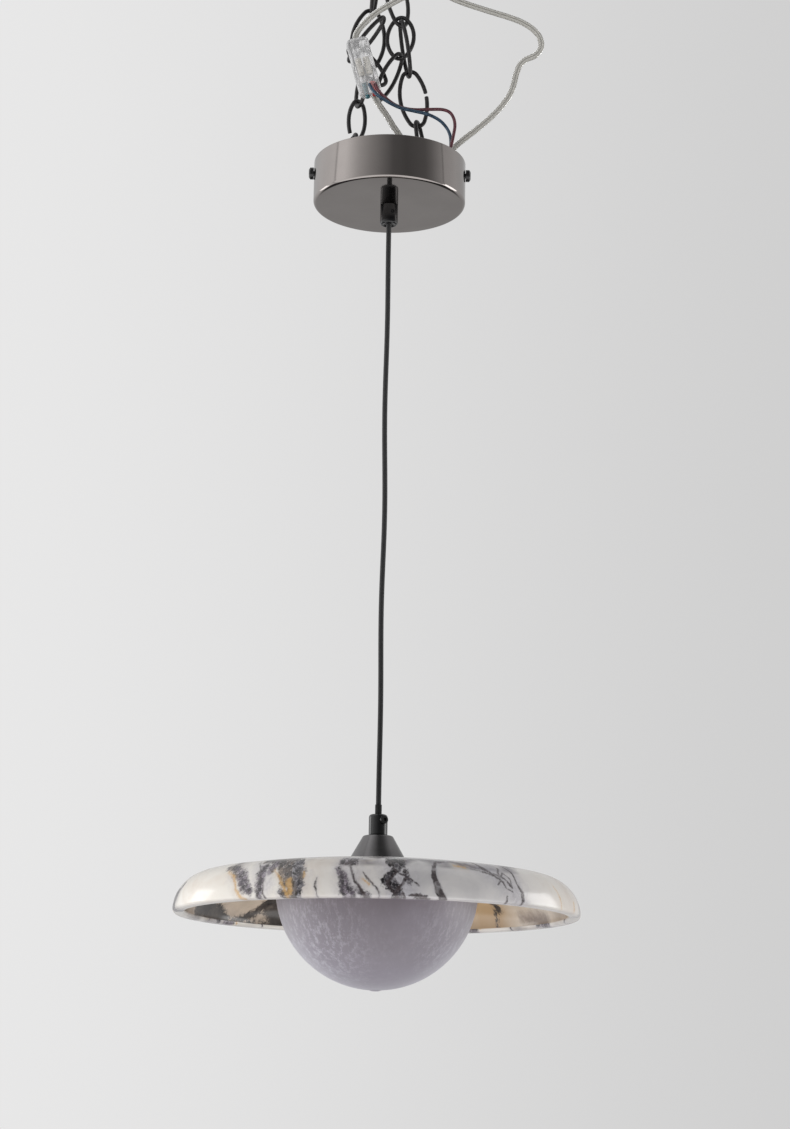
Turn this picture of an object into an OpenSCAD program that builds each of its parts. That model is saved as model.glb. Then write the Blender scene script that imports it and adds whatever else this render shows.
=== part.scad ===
// Marble pendant light: a polished stone shade with an opal glass dome, hung by one
// black cord from a canopy that two strands of open links carry from a ceiling hook.
// Millimetres, +Z up. The origin is the middle of the ceiling plate's top face.

/* [Ceiling hook] */
// Diameter of the round ceiling plate
plate_d = 56; // [52:1:90]
// Thickness of the ceiling plate
plate_t = 3; // [2:0.5:5]
// Distance between the plate's two fixing holes
plate_hole_gap = 38; // [26:1:42]
// Diameter of the plate's fixing holes
plate_hole_d = 4.5; // [3.5:0.1:5.5]
// Thickness of the hook's wire
hook_wire = 5; // [4:0.5:6]
// Radius of the hook's bend, to the middle of its wire
hook_r = 18; // [16:1:24]
// Straight neck between the plate and the hook's bend
hook_neck = 4; // [2:1:20]
// Angle by which the hook is turned about the vertical
hook_turn = -30; // [-36:1:-24]
// Distance from the hook's neck to the middle of its bend, sideways
hook_side = 4.6; // [2:0.2:6]

/* [Chain] */
// Thickness of the links' wire
link_wire = 3.3; // [2.8:0.1:3.5]
// Outside length of a long link
long_link = 51; // [46:0.5:54]
// Outside length of a short link
short_link = 36.5; // [34:0.5:38]
// Outside length of the link that was bent wide
wide_link = 59; // [56:0.5:60]
// Outside width of a narrow link
link_w = 22.5; // [21:0.5:24]
// Outside width of a broad link
broad_w = 24.4; // [23:0.2:26]
// Outside width of the link that was bent wide
wide_w = 30; // [27:0.5:32]
// Outside length of the loose ring link
loose_link = 39; // [37:0.5:41]
// Gap left where a link was opened to hook it in
link_gap = 3; // [2:0.5:5]
// Distance from the middle of the bracket to the right strand
right_x = 29; // [26:0.5:32]
// Distance from the middle of the bracket to the left strand
left_x = 32; // [28:0.5:34]

/* [Bracket] */
// Width of the bracket's strip
strip_w = 12; // [10:0.5:13]
// Thickness of the bracket's strip
strip_t = 2; // [1.5:0.25:3]
// Length of the bracket's bent ears
ear_l = 14; // [12:0.5:20]
// Length of each slot in the strip
slot_l = 14; // [10:0.5:16]
// Width of each slot in the strip
slot_w = 4.5; // [3.5:0.25:5]
// Distance between the middles of the two slots
slot_gap = 84; // [78:1:88]

/* [Canopy] */
// Outer diameter of the canopy
canopy_d = 120; // [112:1:140]
// Height of the canopy
canopy_h = 35; // [28:1:45]
// Wall of the canopy
canopy_wall = 1.2; // [0.8:0.1:2]
// Radius of the canopy's bottom edge
canopy_edge = 2; // [1.5:0.25:4]
// Depth of the side screws below the canopy's top edge
screw_drop = 8.6; // [6:0.2:10]
// Shank diameter of the side screws
screw_d = 4; // [3:0.5:5]
// Head diameter of the side screws
screw_head_d = 9.5; // [8:0.5:12]
// Head height of the side screws
screw_head_h = 3.8; // [3:0.2:5]
// Length of a side screw's shank
screw_l = 9; // [7:0.5:12]

/* [Cord and grips] */
// Diameter of the suspension cord
cord_d = 4; // [3.6:0.1:4.4]
// Free length of the cord between its two grips
cord_free = 467; // [300:1:1500]
// Diameter of both cord grips
grip_d = 14; // [12:0.5:18]
// Height of each cord grip
grip_h = 16; // [14:0.5:24]
// Diameter of the threaded tube and of the canopy grip's stud
tube_d = 10; // [9:0.5:12]
// Head diameter of the lamp grip's screw
knob_d = 6.4; // [5:0.2:8]

/* [Shade] */
// Diameter of the stone shade
shade_d = 300; // [260:2:400]
// Height of the stone shade
shade_h = 40; // [38:1:60]
// Wall of the stone shade
shade_wall = 9; // [7:0.5:11]
// Radius of the shade's rounded shoulder
shoulder_r = 28; // [22:1:34]
// Radius of the shade's shallow crown
crown_r = 760; // [700:10:1200]
// Radius of the rim's polished edges
rim_edge = 2.5; // [1:0.25:4]
// Base diameter of the metal cone on the shade
cone_base_d = 44; // [38:1:60]
// Top diameter of the metal cone
cone_top_d = 23; // [20:1:30]
// Height of the metal cone
cone_h = 20; // [14:1:30]
// Wall of the metal cone
cone_wall = 1.5; // [1:0.25:2.5]

/* [Glass dome and bulb] */
// Diameter of the glass dome
dome_d = 150; // [130:1:170]
// Thickness of the glass
glass_t = 3; // [2:0.25:4]
// Straight skirt above the dome's widest line
dome_skirt = 4.5; // [2:0.5:6]
// Gap between the dome's top edge and the stone
dome_gap = 0.8; // [0.5:0.1:3]
// Diameter of the plate that carries the dome's springs
gallery_d = 120; // [100:1:126]
// Thickness of that plate
gallery_t = 1.5; // [1:0.25:2.5]
// Diameter of the lamp holder
holder_d = 18; // [16:0.5:24]
// Height of the lamp holder
holder_h = 17; // [14:0.5:24]
// Diameter of the bulb's capsule
bulb_d = 15; // [12:0.5:17]
// Length of the bulb's capsule below the holder
bulb_l = 33; // [26:1:34]

/* [Leads] */
// Width of the flat clear cord
flat_w = 5; // [4.4:0.2:5.6]
// Thickness of the flat clear cord
flat_t = 2.6; // [2.2:0.1:3]
// Diameter of the blue and brown leads
lead_d = 2.6; // [2:0.1:3]
// Length of the clear connector block
block_l = 48; // [44:1:50]
// Width of the clear connector block
block_w = 18; // [16:0.5:19]
// Thickness of the clear connector block
block_t = 12; // [10:0.5:13]

/* [Hidden] */
$fn = 64;

// Named clearances
seat_gap = 0.3;       // between pieces that rest on each other
hook_gap = 0.6;       // between the hook and the links on it
strip_gap = 0.5;      // between the bracket's strip and the links round it
turn_gap = 0.1;       // radial, between the cord and the grip it turns in
bore_gap = 0.3;       // radial, between the cord and the canopy grip's bore
screw_gap = 0.08;     // radial, round a screw that slides out
tube_gap = 0.3;       // radial, round the threaded tube
swing_gap = 0.8;      // between the two stretches of cord at the swing point
swing_in = 1;         // height of the swing point inside the grip's mouth
ear_gap = 0.5;        // between the bracket's ears and the canopy's wall
eps = 0.01;

// Ceiling hook levels
hook_back_r = 5;
hook_back_a = acos((hook_back_r + hook_side) / (hook_r + hook_back_r));
hook_z = -(plate_t + hook_neck + (hook_r + hook_back_r) * sin(hook_back_a));
hook_dir = [cos(hook_turn), sin(hook_turn), 0];

// Four-centre oval of a link: half length, half width, nose radius, side radius
function half_l(len) = (len - link_wire) / 2;
function half_w(wid) = (wid - link_wire) / 2;
function side_r(len, wid, nose) =
    (half_l(len) * half_l(len) - 2 * half_l(len) * nose + half_w(wid) * half_w(wid))
    / (2 * (half_w(wid) - nose));
function side_a(len, wid, nose) =
    atan2(half_l(len) - nose, side_r(len, wid, nose) - half_w(wid));

// Middle of a top link's wire where it hangs on the hook, a distance s along the hook
function hung_z(s) =
    hook_z - sqrt(pow(hook_r - hook_wire / 2 - link_wire / 2 - hook_gap, 2) - s * s);
function on_hook(s) = [hook_dir[0] * (s - hook_side), hook_dir[1] * (s - hook_side), hung_z(s)];

// Distance along a strand before link i, and over all its links
function pitch_to(lens, i) =
    i == 0 ? 0 : pitch_to(lens, i - 1) + lens[i - 1] - 2 * link_wire - seat_gap;
function strand_l(lens) =
    pitch_to(lens, len(lens) - 1) + lens[len(lens) - 1] - link_wire;

// Height of the strip's underside above the lowest wire of the link round it
notch_depth = 1;
notch_w = 8;
function strip_lift(len, wid, nose, yaw) =
    let(half = (strip_w / 2 - notch_depth) / abs(sin(yaw)) + strip_gap,
        r = side_r(len, wid, nose),
        a = acos((half + r - half_w(wid)) / (r - link_wire / 2)))
    half_l(len) - (r - link_wire / 2) * sin(a);

// Right strand, top to bottom
right_len = [long_link, long_link, long_link, long_link];
right_wid = [broad_w, link_w, broad_w, link_w];
right_nose = [6.5, 6, 6.5, 6.5];
right_yaw = [37, -80, 0, 72];
right_top = on_hook(4);
right_dx = right_x - right_top[0];
right_drop = sqrt(pow(strand_l(right_len), 2) - pow(right_dx, 2) - pow(right_top[1], 2));
right_end = [right_x, 0, right_top[2] - right_drop];

// Left strand, top to bottom; its top link makes up the length
left_top = on_hook(-10);
left_low = [wide_link, short_link, short_link, short_link];
left_wid = [link_w, wide_w, link_w, link_w, link_w];
left_nose = [6, 7, 7.5, 7, 7.5];
left_yaw = [84, 14, -66, 230, -74];
strip_z = right_end[2]
    + strip_lift(right_len[3], right_wid[3], right_nose[3], right_yaw[3]);
left_end = [-left_x, 0,
    strip_z - strip_lift(short_link, left_wid[4], left_nose[4], left_yaw[4])];
left_top_len = norm(left_end - left_top) - strand_l(left_low) + 2 * link_wire + seat_gap;
left_len = concat([left_top_len], left_low);

// Canopy levels
canopy_z = strip_z + strip_t - canopy_h;
canopy_r = canopy_d / 2;
screw_z = strip_z + strip_t - screw_drop;
ear_x = canopy_r - canopy_wall - ear_gap;
grip_z = canopy_z - grip_h;
swing_z = grip_z + swing_in;
nut_h = 4;
stud_l = canopy_wall + nut_h + 3;
tail_top = canopy_z + canopy_wall + 14;

// Lamp levels
lamp_grip_top = grip_z - cord_free;
lamp_grip_z = lamp_grip_top - grip_h;
cone_z = lamp_grip_z - cone_h;
rim_z = cone_z - shade_h;
stone_in_z = cone_z - shade_wall;
washer_t = 2;
tube_top = lamp_grip_z + 8;
gallery_z = stone_in_z - 2 * washer_t - nut_h - gallery_t - 0.5;
tube_bottom = gallery_z - nut_h - 1.5;
cord_end_z = tube_top + 1;
dome_r = dome_d / 2;
stone_drop = crown_r - sqrt(crown_r * crown_r - dome_r * dome_r);
dome_top_z = stone_in_z - stone_drop - dome_gap;
dome_z = dome_top_z - dome_skirt;
holder_z = gallery_z - holder_h;
bulb_z = holder_z - bulb_l;
pin_gap = 9;
pin_d = 0.9;
pin_l = 7;

// Directions of the two grip screws, from the front towards the right
canopy_grip_a = -65;
lamp_grip_a = -57;
canopy_grip_screw_z = grip_z + 9.5;
lamp_grip_screw_z = lamp_grip_top - 4.5;
set_screw_d = 3;

// Connector block, in the canopy's own frame: middle, lean and level above the canopy
block_mid = [-22, -19.5, 109];
block_lean = -15;
port_x = 3;

// Routes of the leads in the canopy's frame, chosen by hand along the photographed lines
clear_long_pts = [
    [-28.6, -19.5, 132.6], [-29, -19.5, 136], [-27, -19, 141], [-23, -18, 147],
    [-15, -17, 156], [-6, -16.5, 163], [5, -16, 170], [16, -15, 176], [27, -13, 179],
    [39, -12, 178], [51, -11, 173], [60, -10, 170], [72, -8, 167], [83, -7, 164],
    [94, -6, 161], [105, -5, 157], [113, -4, 152], [118, -2, 147], [120, -1, 141],
    [119, 0, 136], [115, 0, 131], [108, 1, 128], [103, 1, 123], [100, 2, 115],
    [98, 2, 106], [95, 3, 98], [89, 4, 89], [81, 5, 80], [70, 6, 70], [59, 7, 61],
    [51, 9, 54], [46, 12, 45], [42, 14, 36], [36, 15, 26], [30, 15, 18]
];
clear_short_pts = [
    [-12.6, -19.5, 84.3], [-12, -19.5, 82], [-9, -19, 77], [-3, -17, 69], [2, -16, 61],
    [7, -15, 54], [12, -14.5, 45], [15, -14, 36], [16, -13, 26]
];
blue_pts = [
    [-17, -25.6, 91], [-17, -27.4, 91], [-15, -28, 86.5], [-11, -27, 82.5],
    [-5, -23.5, 79.8], [1, -20.5, 77.5], [8, -18, 75.5], [19, -15, 74.3], [30, -12, 73],
    [39, -10, 69], [44, -9, 64], [47, -9, 58], [48, -9, 50], [47, -9, 40], [43, -9, 30],
    [34, -8, 21], [24, -6, 19], [14, -3, 21], [7, -1, 23], [3, 0, 21], [1.5, 0, 18],
    [1.5, 0, 15.6]
];
brown_pts = [
    [-12.5, -25.6, 91.4], [-12.5, -27.3, 91.4], [-11, -27.6, 87.5], [-8, -25, 84.5],
    [-3, -20.3, 81.8], [4, -16, 78.8], [12, -13.5, 77.2], [20, -12, 77], [31, -12, 77.5],
    [42, -12, 77.3], [47, -12, 75], [50, -12, 70], [51, -12, 64], [50, -12.5, 56],
    [48, -13, 46], [45, -13, 36], [40, -13, 27], [32, -12.5, 20], [22, -11, 16.5],
    [12, -8, 17], [4, -5, 20], [-1, -2, 22], [-1.5, 0, 19], [-1.5, 0, 15.6]
];

// A tube swept along points: rings of n sides, half sizes a (level) and b (across).
// A closed tube joins its last ring to its first; tip shrinks an open tube's last ring
function unit(v) = v / norm(v);
function run_at(p, i, closed) =
    let(m = len(p))
    closed ? unit(p[(i + 1) % m] - p[(i + m - 1) % m])
    : i == 0 ? unit(p[1] - p[0])
    : i == m - 1 ? unit(p[i] - p[i - 1])
    : unit(unit(p[i + 1] - p[i]) + unit(p[i] - p[i - 1]));
function ring_at(p, i, n, a, b, side, closed) =
    let(t = run_at(p, i, closed),
        u = unit(cross(t, side)),
        v = unit(cross(u, t)))
    [for (k = [0:n - 1]) p[i] + a * cos(360 * k / n) * u + b * sin(360 * k / n) * v];
module swept(p, n, a, b, side = [0, 1, 0], closed = false, tip = 1) {
    m = len(p);
    pts = [
        for (i = [0:m - 1])
            let(s = i == m - 1 ? tip : 1)
            each ring_at(p, i, n, a * s, b * s, side, closed)
    ];
    walls = [
        for (i = [0:closed ? m - 1 : m - 2], k = [0:n - 1])
            let(j = (i + 1) % m, k2 = (k + 1) % n)
            each [[i * n + k, i * n + k2, j * n + k], [i * n + k2, j * n + k2, j * n + k]]
    ];
    e = (m - 1) * n;
    ends = closed ? [] : [for (k = [1:n - 2]) each [[0, k + 1, k], [e, e + k, e + k + 1]]];
    polyhedron(points = pts, faces = concat(walls, ends));
}

// Points of an arc in the XZ plane
function arc_pts(mid, r, from, to, steps) =
    [for (k = [0:steps])
        let(q = from + (to - from) * k / steps) [mid[0] + r * cos(q), 0, mid[1] + r * sin(q)]];
function without_last(v) = [for (i = [0:len(v) - 2]) v[i]];

// One link standing on its end in the XZ plane. A gap opens its right side at gap_z, or
// the right part of its lower nose where gap_z lies below the side arc
link_sides = 10;
arc_steps = 8;
module link(len, wid, nose, open = false, gap_z = 0) {
    r = side_r(len, wid, nose);
    a = side_a(len, wid, nose);
    low = gap_z < -r * sin(a);
    cut = low ? asin((gap_z + half_l(len) - nose) / nose) : asin(gap_z / r);
    half_cut = link_gap / 2 / (low ? nose : r) * 180 / PI;
    top = arc_pts([0, half_l(len) - nose], nose, a, 180 - a, arc_steps);
    left = arc_pts([r - half_w(wid), 0], r, 180 - a, 180 + a, arc_steps);
    bottom = arc_pts([0, nose - half_l(len)], nose, 180 + a, 360 - a, arc_steps);
    right_mid = [half_w(wid) - r, 0];
    if (open && low) {
        swept(concat(
            without_last(arc_pts([0, nose - half_l(len)], nose, cut + half_cut, -a, 2)),
            without_last(arc_pts(right_mid, r, -a, a, arc_steps)),
            without_last(top), without_last(left),
            arc_pts([0, nose - half_l(len)], nose, a - 180, cut - half_cut, arc_steps)),
            link_sides, link_wire / 2, link_wire / 2);
    } else if (open) {
        swept(concat(
            without_last(arc_pts(right_mid, r, cut + half_cut, a, arc_steps / 2)),
            without_last(top), without_last(left), without_last(bottom),
            arc_pts(right_mid, r, -a, cut - half_cut, arc_steps / 2)),
            link_sides, link_wire / 2, link_wire / 2);
    } else {
        swept(concat(
            without_last(arc_pts(right_mid, r, -a, a, arc_steps)),
            without_last(top), without_last(left), without_last(bottom)),
            link_sides, link_wire / 2, link_wire / 2, closed = true);
    }
}

// Link i of a strand that runs from one point to another
module strand_link(top, end, lens, wids, noses, yaws, i, open = false, gap_z = 0) {
    u = unit(end - top);
    mid = top + u * (pitch_to(lens, i) + (lens[i] - link_wire) / 2);
    translate(mid) rotate([atan2(u[1], -u[2]), 0, 0]) rotate([0, asin(-u[0]), 0])
        rotate([0, 0, yaws[i]]) link(lens[i], wids[i], noses[i], open, gap_z);
}
module right_link(i, open = false, gap_z = 0) {
    color("#1d1c1e")
        strand_link(right_top, right_end, right_len, right_wid, right_nose, right_yaw,
            i, open, gap_z);
}
module left_link(i, open = false, gap_z = 0) {
    color("#1d1c1e")
        strand_link(left_top, left_end, left_len, left_wid, left_nose, left_yaw,
            i, open, gap_z);
}

module ceiling_plate() {
    color("#1d1c1e") translate([0, 0, -plate_t]) difference() {
        union() {
            cylinder(h = plate_t, d = plate_d - plate_t);
            translate([0, 0, plate_t / 2]) cylinder(h = plate_t / 2, d = plate_d);
            translate([0, 0, 0]) cylinder(h = plate_t / 2, d1 = plate_d - plate_t, d2 = plate_d);
        }
        for (s = [-1, 1]) translate([s * plate_hole_gap / 2, 0, -1])
            cylinder(h = plate_t + 2, d = plate_hole_d);
    }
}

module ceiling_hook() {
    neck_x = hook_back_r + hook_side;
    neck_z = (hook_r + hook_back_r) * sin(hook_back_a);
    bend = arc_pts([0, 0], hook_r, hook_back_a, -200, 24);
    wire = concat(
        [[hook_side, 0, neck_z + hook_neck]],
        without_last(arc_pts([neck_x, neck_z], hook_back_r, 180, 180 + hook_back_a, 6)),
        bend,
        arc_pts([0, 0], hook_r, -203, -204, 1));
    color("#1d1c1e") translate([0, 0, hook_z]) rotate([0, 0, hook_turn])
        translate([-hook_side, 0, 0]) swept(wire, 12, hook_wire / 2, hook_wire / 2, tip = 0.6);
}

// Loose links: a ring that lies over the long link's top, one that hangs from the ring,
// one that lies sideways in that, and one that joins it to the left strand's wide link
right_dir = unit(right_end - right_top);
left_dir = unit(left_end - left_top);
long_top = right_top + right_dir * pitch_to(right_len, 1);
ring_mid = long_top + [0, 0, link_wire + seat_gap - half_l(loose_link)];
module loose_ring_link() {
    color("#1d1c1e") translate(ring_mid) rotate([0, 0, -15]) link(loose_link, broad_w + 1, 6.5);
}
module loose_hanging_link() {
    color("#1d1c1e") translate(ring_mid + [-8.9, 1.4, -33.4]) rotate([0, 26, 0])
        rotate([0, 0, 65]) link(46, link_w, 6);
}
module loose_side_link() {
    color("#1d1c1e") translate(ring_mid + [-26.3, -6.8, -27.8]) rotate([0, -40, 0])
        rotate([0, 0, 26]) link(45, link_w, 6);
}
module loose_cross_link() {
    color("#1d1c1e") translate(ring_mid + [-27.3, -3.6, -3.3]) rotate([15, 0, 0])
        rotate([0, 38, 0]) rotate([0, 0, 75]) link(47.5, link_w, 6);
}

// Where a strand's middle passes the bracket's strip
function strip_x(end, dir) = end[0] + (strip_z + strip_t / 2 - end[2]) * dir[0] / dir[2];

module canopy_bracket() {
    color("silver") difference() {
        union() {
            translate([-ear_x, -strip_w / 2, strip_z]) cube([2 * ear_x, strip_w, strip_t]);
            for (s = [-1, 1]) {
                translate([s * (ear_x - strip_t / 2) - strip_t / 2, -strip_w / 2,
                    strip_z + strip_t - ear_l])
                    cube([strip_t, strip_w, ear_l]);
            }
        }
        for (s = [-1, 1]) {
            // Notches that keep the two strands apart
            mid_x = s > 0 ? strip_x(right_end, right_dir) : strip_x(left_end, left_dir);
            for (t = [-1, 1]) translate([mid_x - notch_w / 2,
                t * strip_w / 2 - (t > 0 ? notch_depth : 0), strip_z - 1])
                cube([notch_w, notch_depth, strip_t + 2]);
            // Slots for fixing screws
            for (e = [-1, 1]) translate([s * slot_gap / 2 + e * (slot_l - slot_w) / 2, 0,
                strip_z - 1])
                cylinder(h = strip_t + 2, d = slot_w);
            translate([s * slot_gap / 2 - (slot_l - slot_w) / 2, -slot_w / 2, strip_z - 1])
                cube([slot_l - slot_w, slot_w, strip_t + 2]);
            // Screw holes in the ears
            translate([s * ear_x, 0, screw_z]) rotate([0, 90, 0])
                cylinder(h = 3 * strip_t, d = screw_d + 2 * screw_gap, center = true);
        }
    }
}

// Half section of a cup with a rounded bottom edge
module cup_section(r, h, edge) {
    translate([0, edge]) square([r, h - edge]);
    square([r - edge, edge]);
    translate([r - edge, edge]) circle(edge);
}
module canopy_cup() {
    inner_edge = max(canopy_edge - canopy_wall, 0.3);
    color("#77736f") translate([0, 0, canopy_z]) difference() {
        rotate_extrude($fn = 128) intersection() {
            difference() {
                cup_section(canopy_r, canopy_h, canopy_edge);
                translate([0, canopy_wall])
                    cup_section(canopy_r - canopy_wall, canopy_h, inner_edge);
            }
            square([canopy_r + 1, canopy_h]);
        }
        translate([0, 0, -1]) cylinder(h = canopy_wall + 2, d = tube_d + 0.4);
        for (s = [-1, 1]) translate([s * (canopy_r - canopy_wall / 2), 0, canopy_h - screw_drop])
            rotate([0, 90, 0])
            cylinder(h = 4 * canopy_wall, d = screw_d + 2 * screw_gap, center = true);
    }
}

// Side screw: domed head outside the canopy, shank through the wall and the ear
module side_screw(s) {
    color("#1d1c1e") translate([s * (canopy_r + seat_gap), 0, screw_z])
        rotate([0, s * 90, 0]) difference() {
            union() {
                translate([0, 0, -screw_l]) cylinder(h = screw_l + 0.5, d = screw_d);
                cylinder(h = screw_head_h - 1, d = screw_head_d);
                translate([0, 0, screw_head_h - 1])
                    cylinder(h = 1, d1 = screw_head_d, d2 = screw_head_d - 3);
            }
            translate([0, 0, screw_head_h - 2]) cylinder(h = 3, d = 3, $fn = 6);
        }
}
module canopy_screw_left() { side_screw(-1); }
module canopy_screw_right() { side_screw(1); }

module canopy_grip() {
    chamfer = 1;
    mouth_d = cord_d + 4.4;
    color("#1d1c1e") translate([0, 0, grip_z]) difference() {
        union() {
            cylinder(h = chamfer, d1 = grip_d - 2 * chamfer, d2 = grip_d);
            translate([0, 0, chamfer]) cylinder(h = grip_h - chamfer, d = grip_d);
            translate([0, 0, grip_h]) cylinder(h = stud_l, d = tube_d);
        }
        translate([0, 0, -1]) cylinder(h = grip_h + stud_l + 2, d = cord_d + 2 * bore_gap);
        translate([0, 0, -eps])
            cylinder(h = 2.2 + eps, d1 = mouth_d, d2 = cord_d + 2 * bore_gap);
        translate([0, 0, canopy_grip_screw_z - grip_z]) rotate([0, 0, canopy_grip_a])
            rotate([0, 90, 0]) cylinder(h = grip_d, d = set_screw_d + 2 * screw_gap);
    }
}
module hex_nut(across, h, hole) {
    difference() {
        cylinder(h = h, d = across / cos(30), $fn = 6);
        translate([0, 0, -1]) cylinder(h = h + 2, d = hole, $fn = 64);
    }
}
module canopy_grip_nut() {
    color("silver") translate([0, 0, canopy_z + canopy_wall])
        hex_nut(grip_d, nut_h, tube_d + 0.1);
}

// Headless screw that clamps the cord in the canopy grip
module canopy_grip_screw() {
    tip = cord_d / 2 + 0.2;
    color("#2a292b") translate([0, 0, canopy_grip_screw_z]) rotate([0, 0, canopy_grip_a])
        rotate([0, 90, 0]) difference() {
            translate([0, 0, tip]) cylinder(h = grip_d / 2 + 0.3 - tip, d = set_screw_d);
            translate([0, 0, grip_d / 2 - 1.2]) cylinder(h = 2, d = 1.8, $fn = 6);
        }
}
module canopy_cord_tail() {
    color("#161616") translate([0, 0, swing_z + swing_gap])
        cylinder(h = tail_top - swing_z - swing_gap, d = cord_d);
}

// Connector: a clear housing with two bores, its brass clamps and two sleeves
module in_block() {
    translate([0, 0, canopy_z] + block_mid) rotate([0, block_lean, 0]) children();
}
block_r = 4;
clamp_d = 4.6;
clamp_l = 15;
module connector_block() {
    in_block() color([0.85, 0.87, 0.88, 0.5]) difference() {
        intersection() {
            rotate([90, 0, 0]) linear_extrude(block_t, center = true) {
                square([block_w - 2 * block_r, block_l], center = true);
                square([block_w, block_l - 2 * block_r], center = true);
                for (s = [-1, 1], t = [-1, 1])
                    translate([s * (block_w / 2 - block_r), t * (block_l / 2 - block_r)])
                    circle(block_r);
            }
            translate([0, 0, -block_l / 2]) linear_extrude(block_l) {
                square([block_w - 5, block_t], center = true);
                square([block_w, block_t - 5], center = true);
                for (s = [-1, 1], t = [-1, 1])
                    translate([s * (block_w / 2 - 2.5), t * (block_t / 2 - 2.5)]) circle(2.5);
            }
        }
        for (s = [-1, 1]) translate([s * port_x, 0, -block_l / 2 - 1])
            cylinder(h = block_l + 2, d = clamp_d + 0.4);
        for (s = [-1, 1], t = [-1, 1]) translate([s * port_x, 0, t * 4.5])
            rotate([90, 0, 0]) cylinder(h = block_t, d = 3);
    }
}
module connector_clamps() {
    in_block() color("#b9b4a6") for (s = [-1, 1]) translate([s * port_x, 0, 0]) difference() {
        union() {
            translate([0, 0, -clamp_l / 2]) cylinder(h = clamp_l, d = clamp_d);
            for (t = [-1, 1]) translate([0, 0, t * 4.5]) rotate([90, 0, 0])
                cylinder(h = block_t / 2 - 1.2, d = 2.4);
        }
        translate([0, 0, -clamp_l]) cylinder(h = 2 * clamp_l, d = 2.9);
    }
}
module sleeve(s) {
    in_block() translate([s * port_x, 0, -block_l / 2 - 2]) difference() {
        cylinder(h = 12, d = 3.6);
        translate([0, 0, -1]) cylinder(h = 14, d = 1.6);
    }
}
module teal_sleeve() {
    color("#2f6f7a") sleeve(-1);
}
module red_sleeve() {
    color("#c8262b") sleeve(1);
}

module in_canopy() {
    translate([0, 0, canopy_z]) children();
}
module clear_cord_long() {
    in_canopy() color([0.85, 0.85, 0.82, 0.6]) swept(clear_long_pts, 8, flat_w / 2, flat_t / 2);
}
module clear_cord_short() {
    in_canopy() color([0.85, 0.85, 0.82, 0.6]) swept(clear_short_pts, 8, flat_w / 2, flat_t / 2);
}
module blue_lead() {
    in_canopy() color("#2b4a6a") swept(blue_pts, 8, lead_d / 2, lead_d / 2, [0, 0.7, 0.7]);
}
module brown_lead() {
    in_canopy() color("#5a2430") swept(brown_pts, 8, lead_d / 2, lead_d / 2, [0, 0.7, 0.7]);
}

// Suspension cord: straight in both grips, with the slight waves of a hung cord between
cord_rings = 28;
cord_wave = 0.7;
cord_pts = [
    for (k = [0:cord_rings])
        let(z = swing_z + (cord_end_z - swing_z) * k / cord_rings,
            q = min(max((swing_z - 20 - z) / (swing_z - lamp_grip_top - 40), 0), 1))
        [cord_wave * sin(360 * 2.5 * q) * sin(180 * q), 0, z]
];
module suspension_cord() {
    color("#161616") swept(cord_pts, 12, cord_d / 2, cord_d / 2);
}
module cord_sleeve() {
    color("#101010") translate([0, 0, lamp_grip_top + seat_gap]) difference() {
        cylinder(h = 7, d = cord_d + 1);
        translate([0, 0, -1]) cylinder(h = 9, d = cord_d + 2 * turn_gap);
    }
}

// Lamp grip: rounded top, blind thread for the tube, screw on the right of the front
module lamp_grip() {
    r = 2.2;
    color("#1d1c1e") translate([0, 0, lamp_grip_z]) difference() {
        rotate_extrude() {
            square([grip_d / 2, grip_h - r]);
            square([grip_d / 2 - r, grip_h]);
            translate([grip_d / 2 - r, grip_h - r]) circle(r);
        }
        translate([0, 0, -1]) cylinder(h = grip_h + 2, d = cord_d + 2 * turn_gap);
        translate([0, 0, -1]) cylinder(h = tube_top - lamp_grip_z + 1.3, d = tube_d + 0.2);
        translate([0, 0, lamp_grip_screw_z - lamp_grip_z]) rotate([0, 0, lamp_grip_a])
            rotate([0, 90, 0]) cylinder(h = grip_d, d = set_screw_d + 2 * screw_gap);
    }
}
module lamp_grip_knob() {
    tip = cord_d / 2 + 0.3;
    color("#2a292b") translate([0, 0, lamp_grip_screw_z]) rotate([0, 0, lamp_grip_a])
        rotate([0, 90, 0]) difference() {
            union() {
                translate([0, 0, tip]) cylinder(h = grip_d / 2 - tip + 0.6, d = set_screw_d);
                translate([0, 0, grip_d / 2 + 0.1]) cylinder(h = 1.6, d = knob_d);
                translate([0, 0, grip_d / 2 + 1.7]) cylinder(h = 0.7, d1 = knob_d, d2 = knob_d - 1.4);
            }
            translate([0, 0, grip_d / 2 + 1]) cylinder(h = 3, d = 2.6, $fn = 6);
        }
}

// Hollow cone with a rounded top edge
module cone_cap() {
    r = 1.5;
    base_r = cone_base_d / 2;
    top_r = cone_top_d / 2;
    color("#5b5957") translate([0, 0, cone_z + seat_gap / 3]) difference() {
        rotate_extrude($fn = 96) {
            polygon([[0, 0], [base_r, 0], [base_r, 0.8], [top_r + 0.5, cone_h - r],
                [top_r - r, cone_h - seat_gap / 3], [0, cone_h - seat_gap / 3]]);
            translate([top_r - r + 0.3, cone_h - r - seat_gap / 3]) circle(r);
        }
        rotate_extrude($fn = 96) polygon([[0, -1], [base_r - cone_wall, -1],
            [base_r - cone_wall, 0], [top_r - cone_wall, cone_h - 2 * cone_wall],
            [0, cone_h - 2 * cone_wall]]);
        translate([0, 0, -1]) cylinder(h = cone_h + 2, d = tube_d + 0.4);
    }
}
module threaded_tube() {
    color("#b8b4ac") translate([0, 0, tube_bottom]) difference() {
        cylinder(h = tube_top - tube_bottom, d = tube_d);
        translate([0, 0, -1]) cylinder(h = tube_top - tube_bottom + 2, d = tube_d - 3);
    }
}

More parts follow.
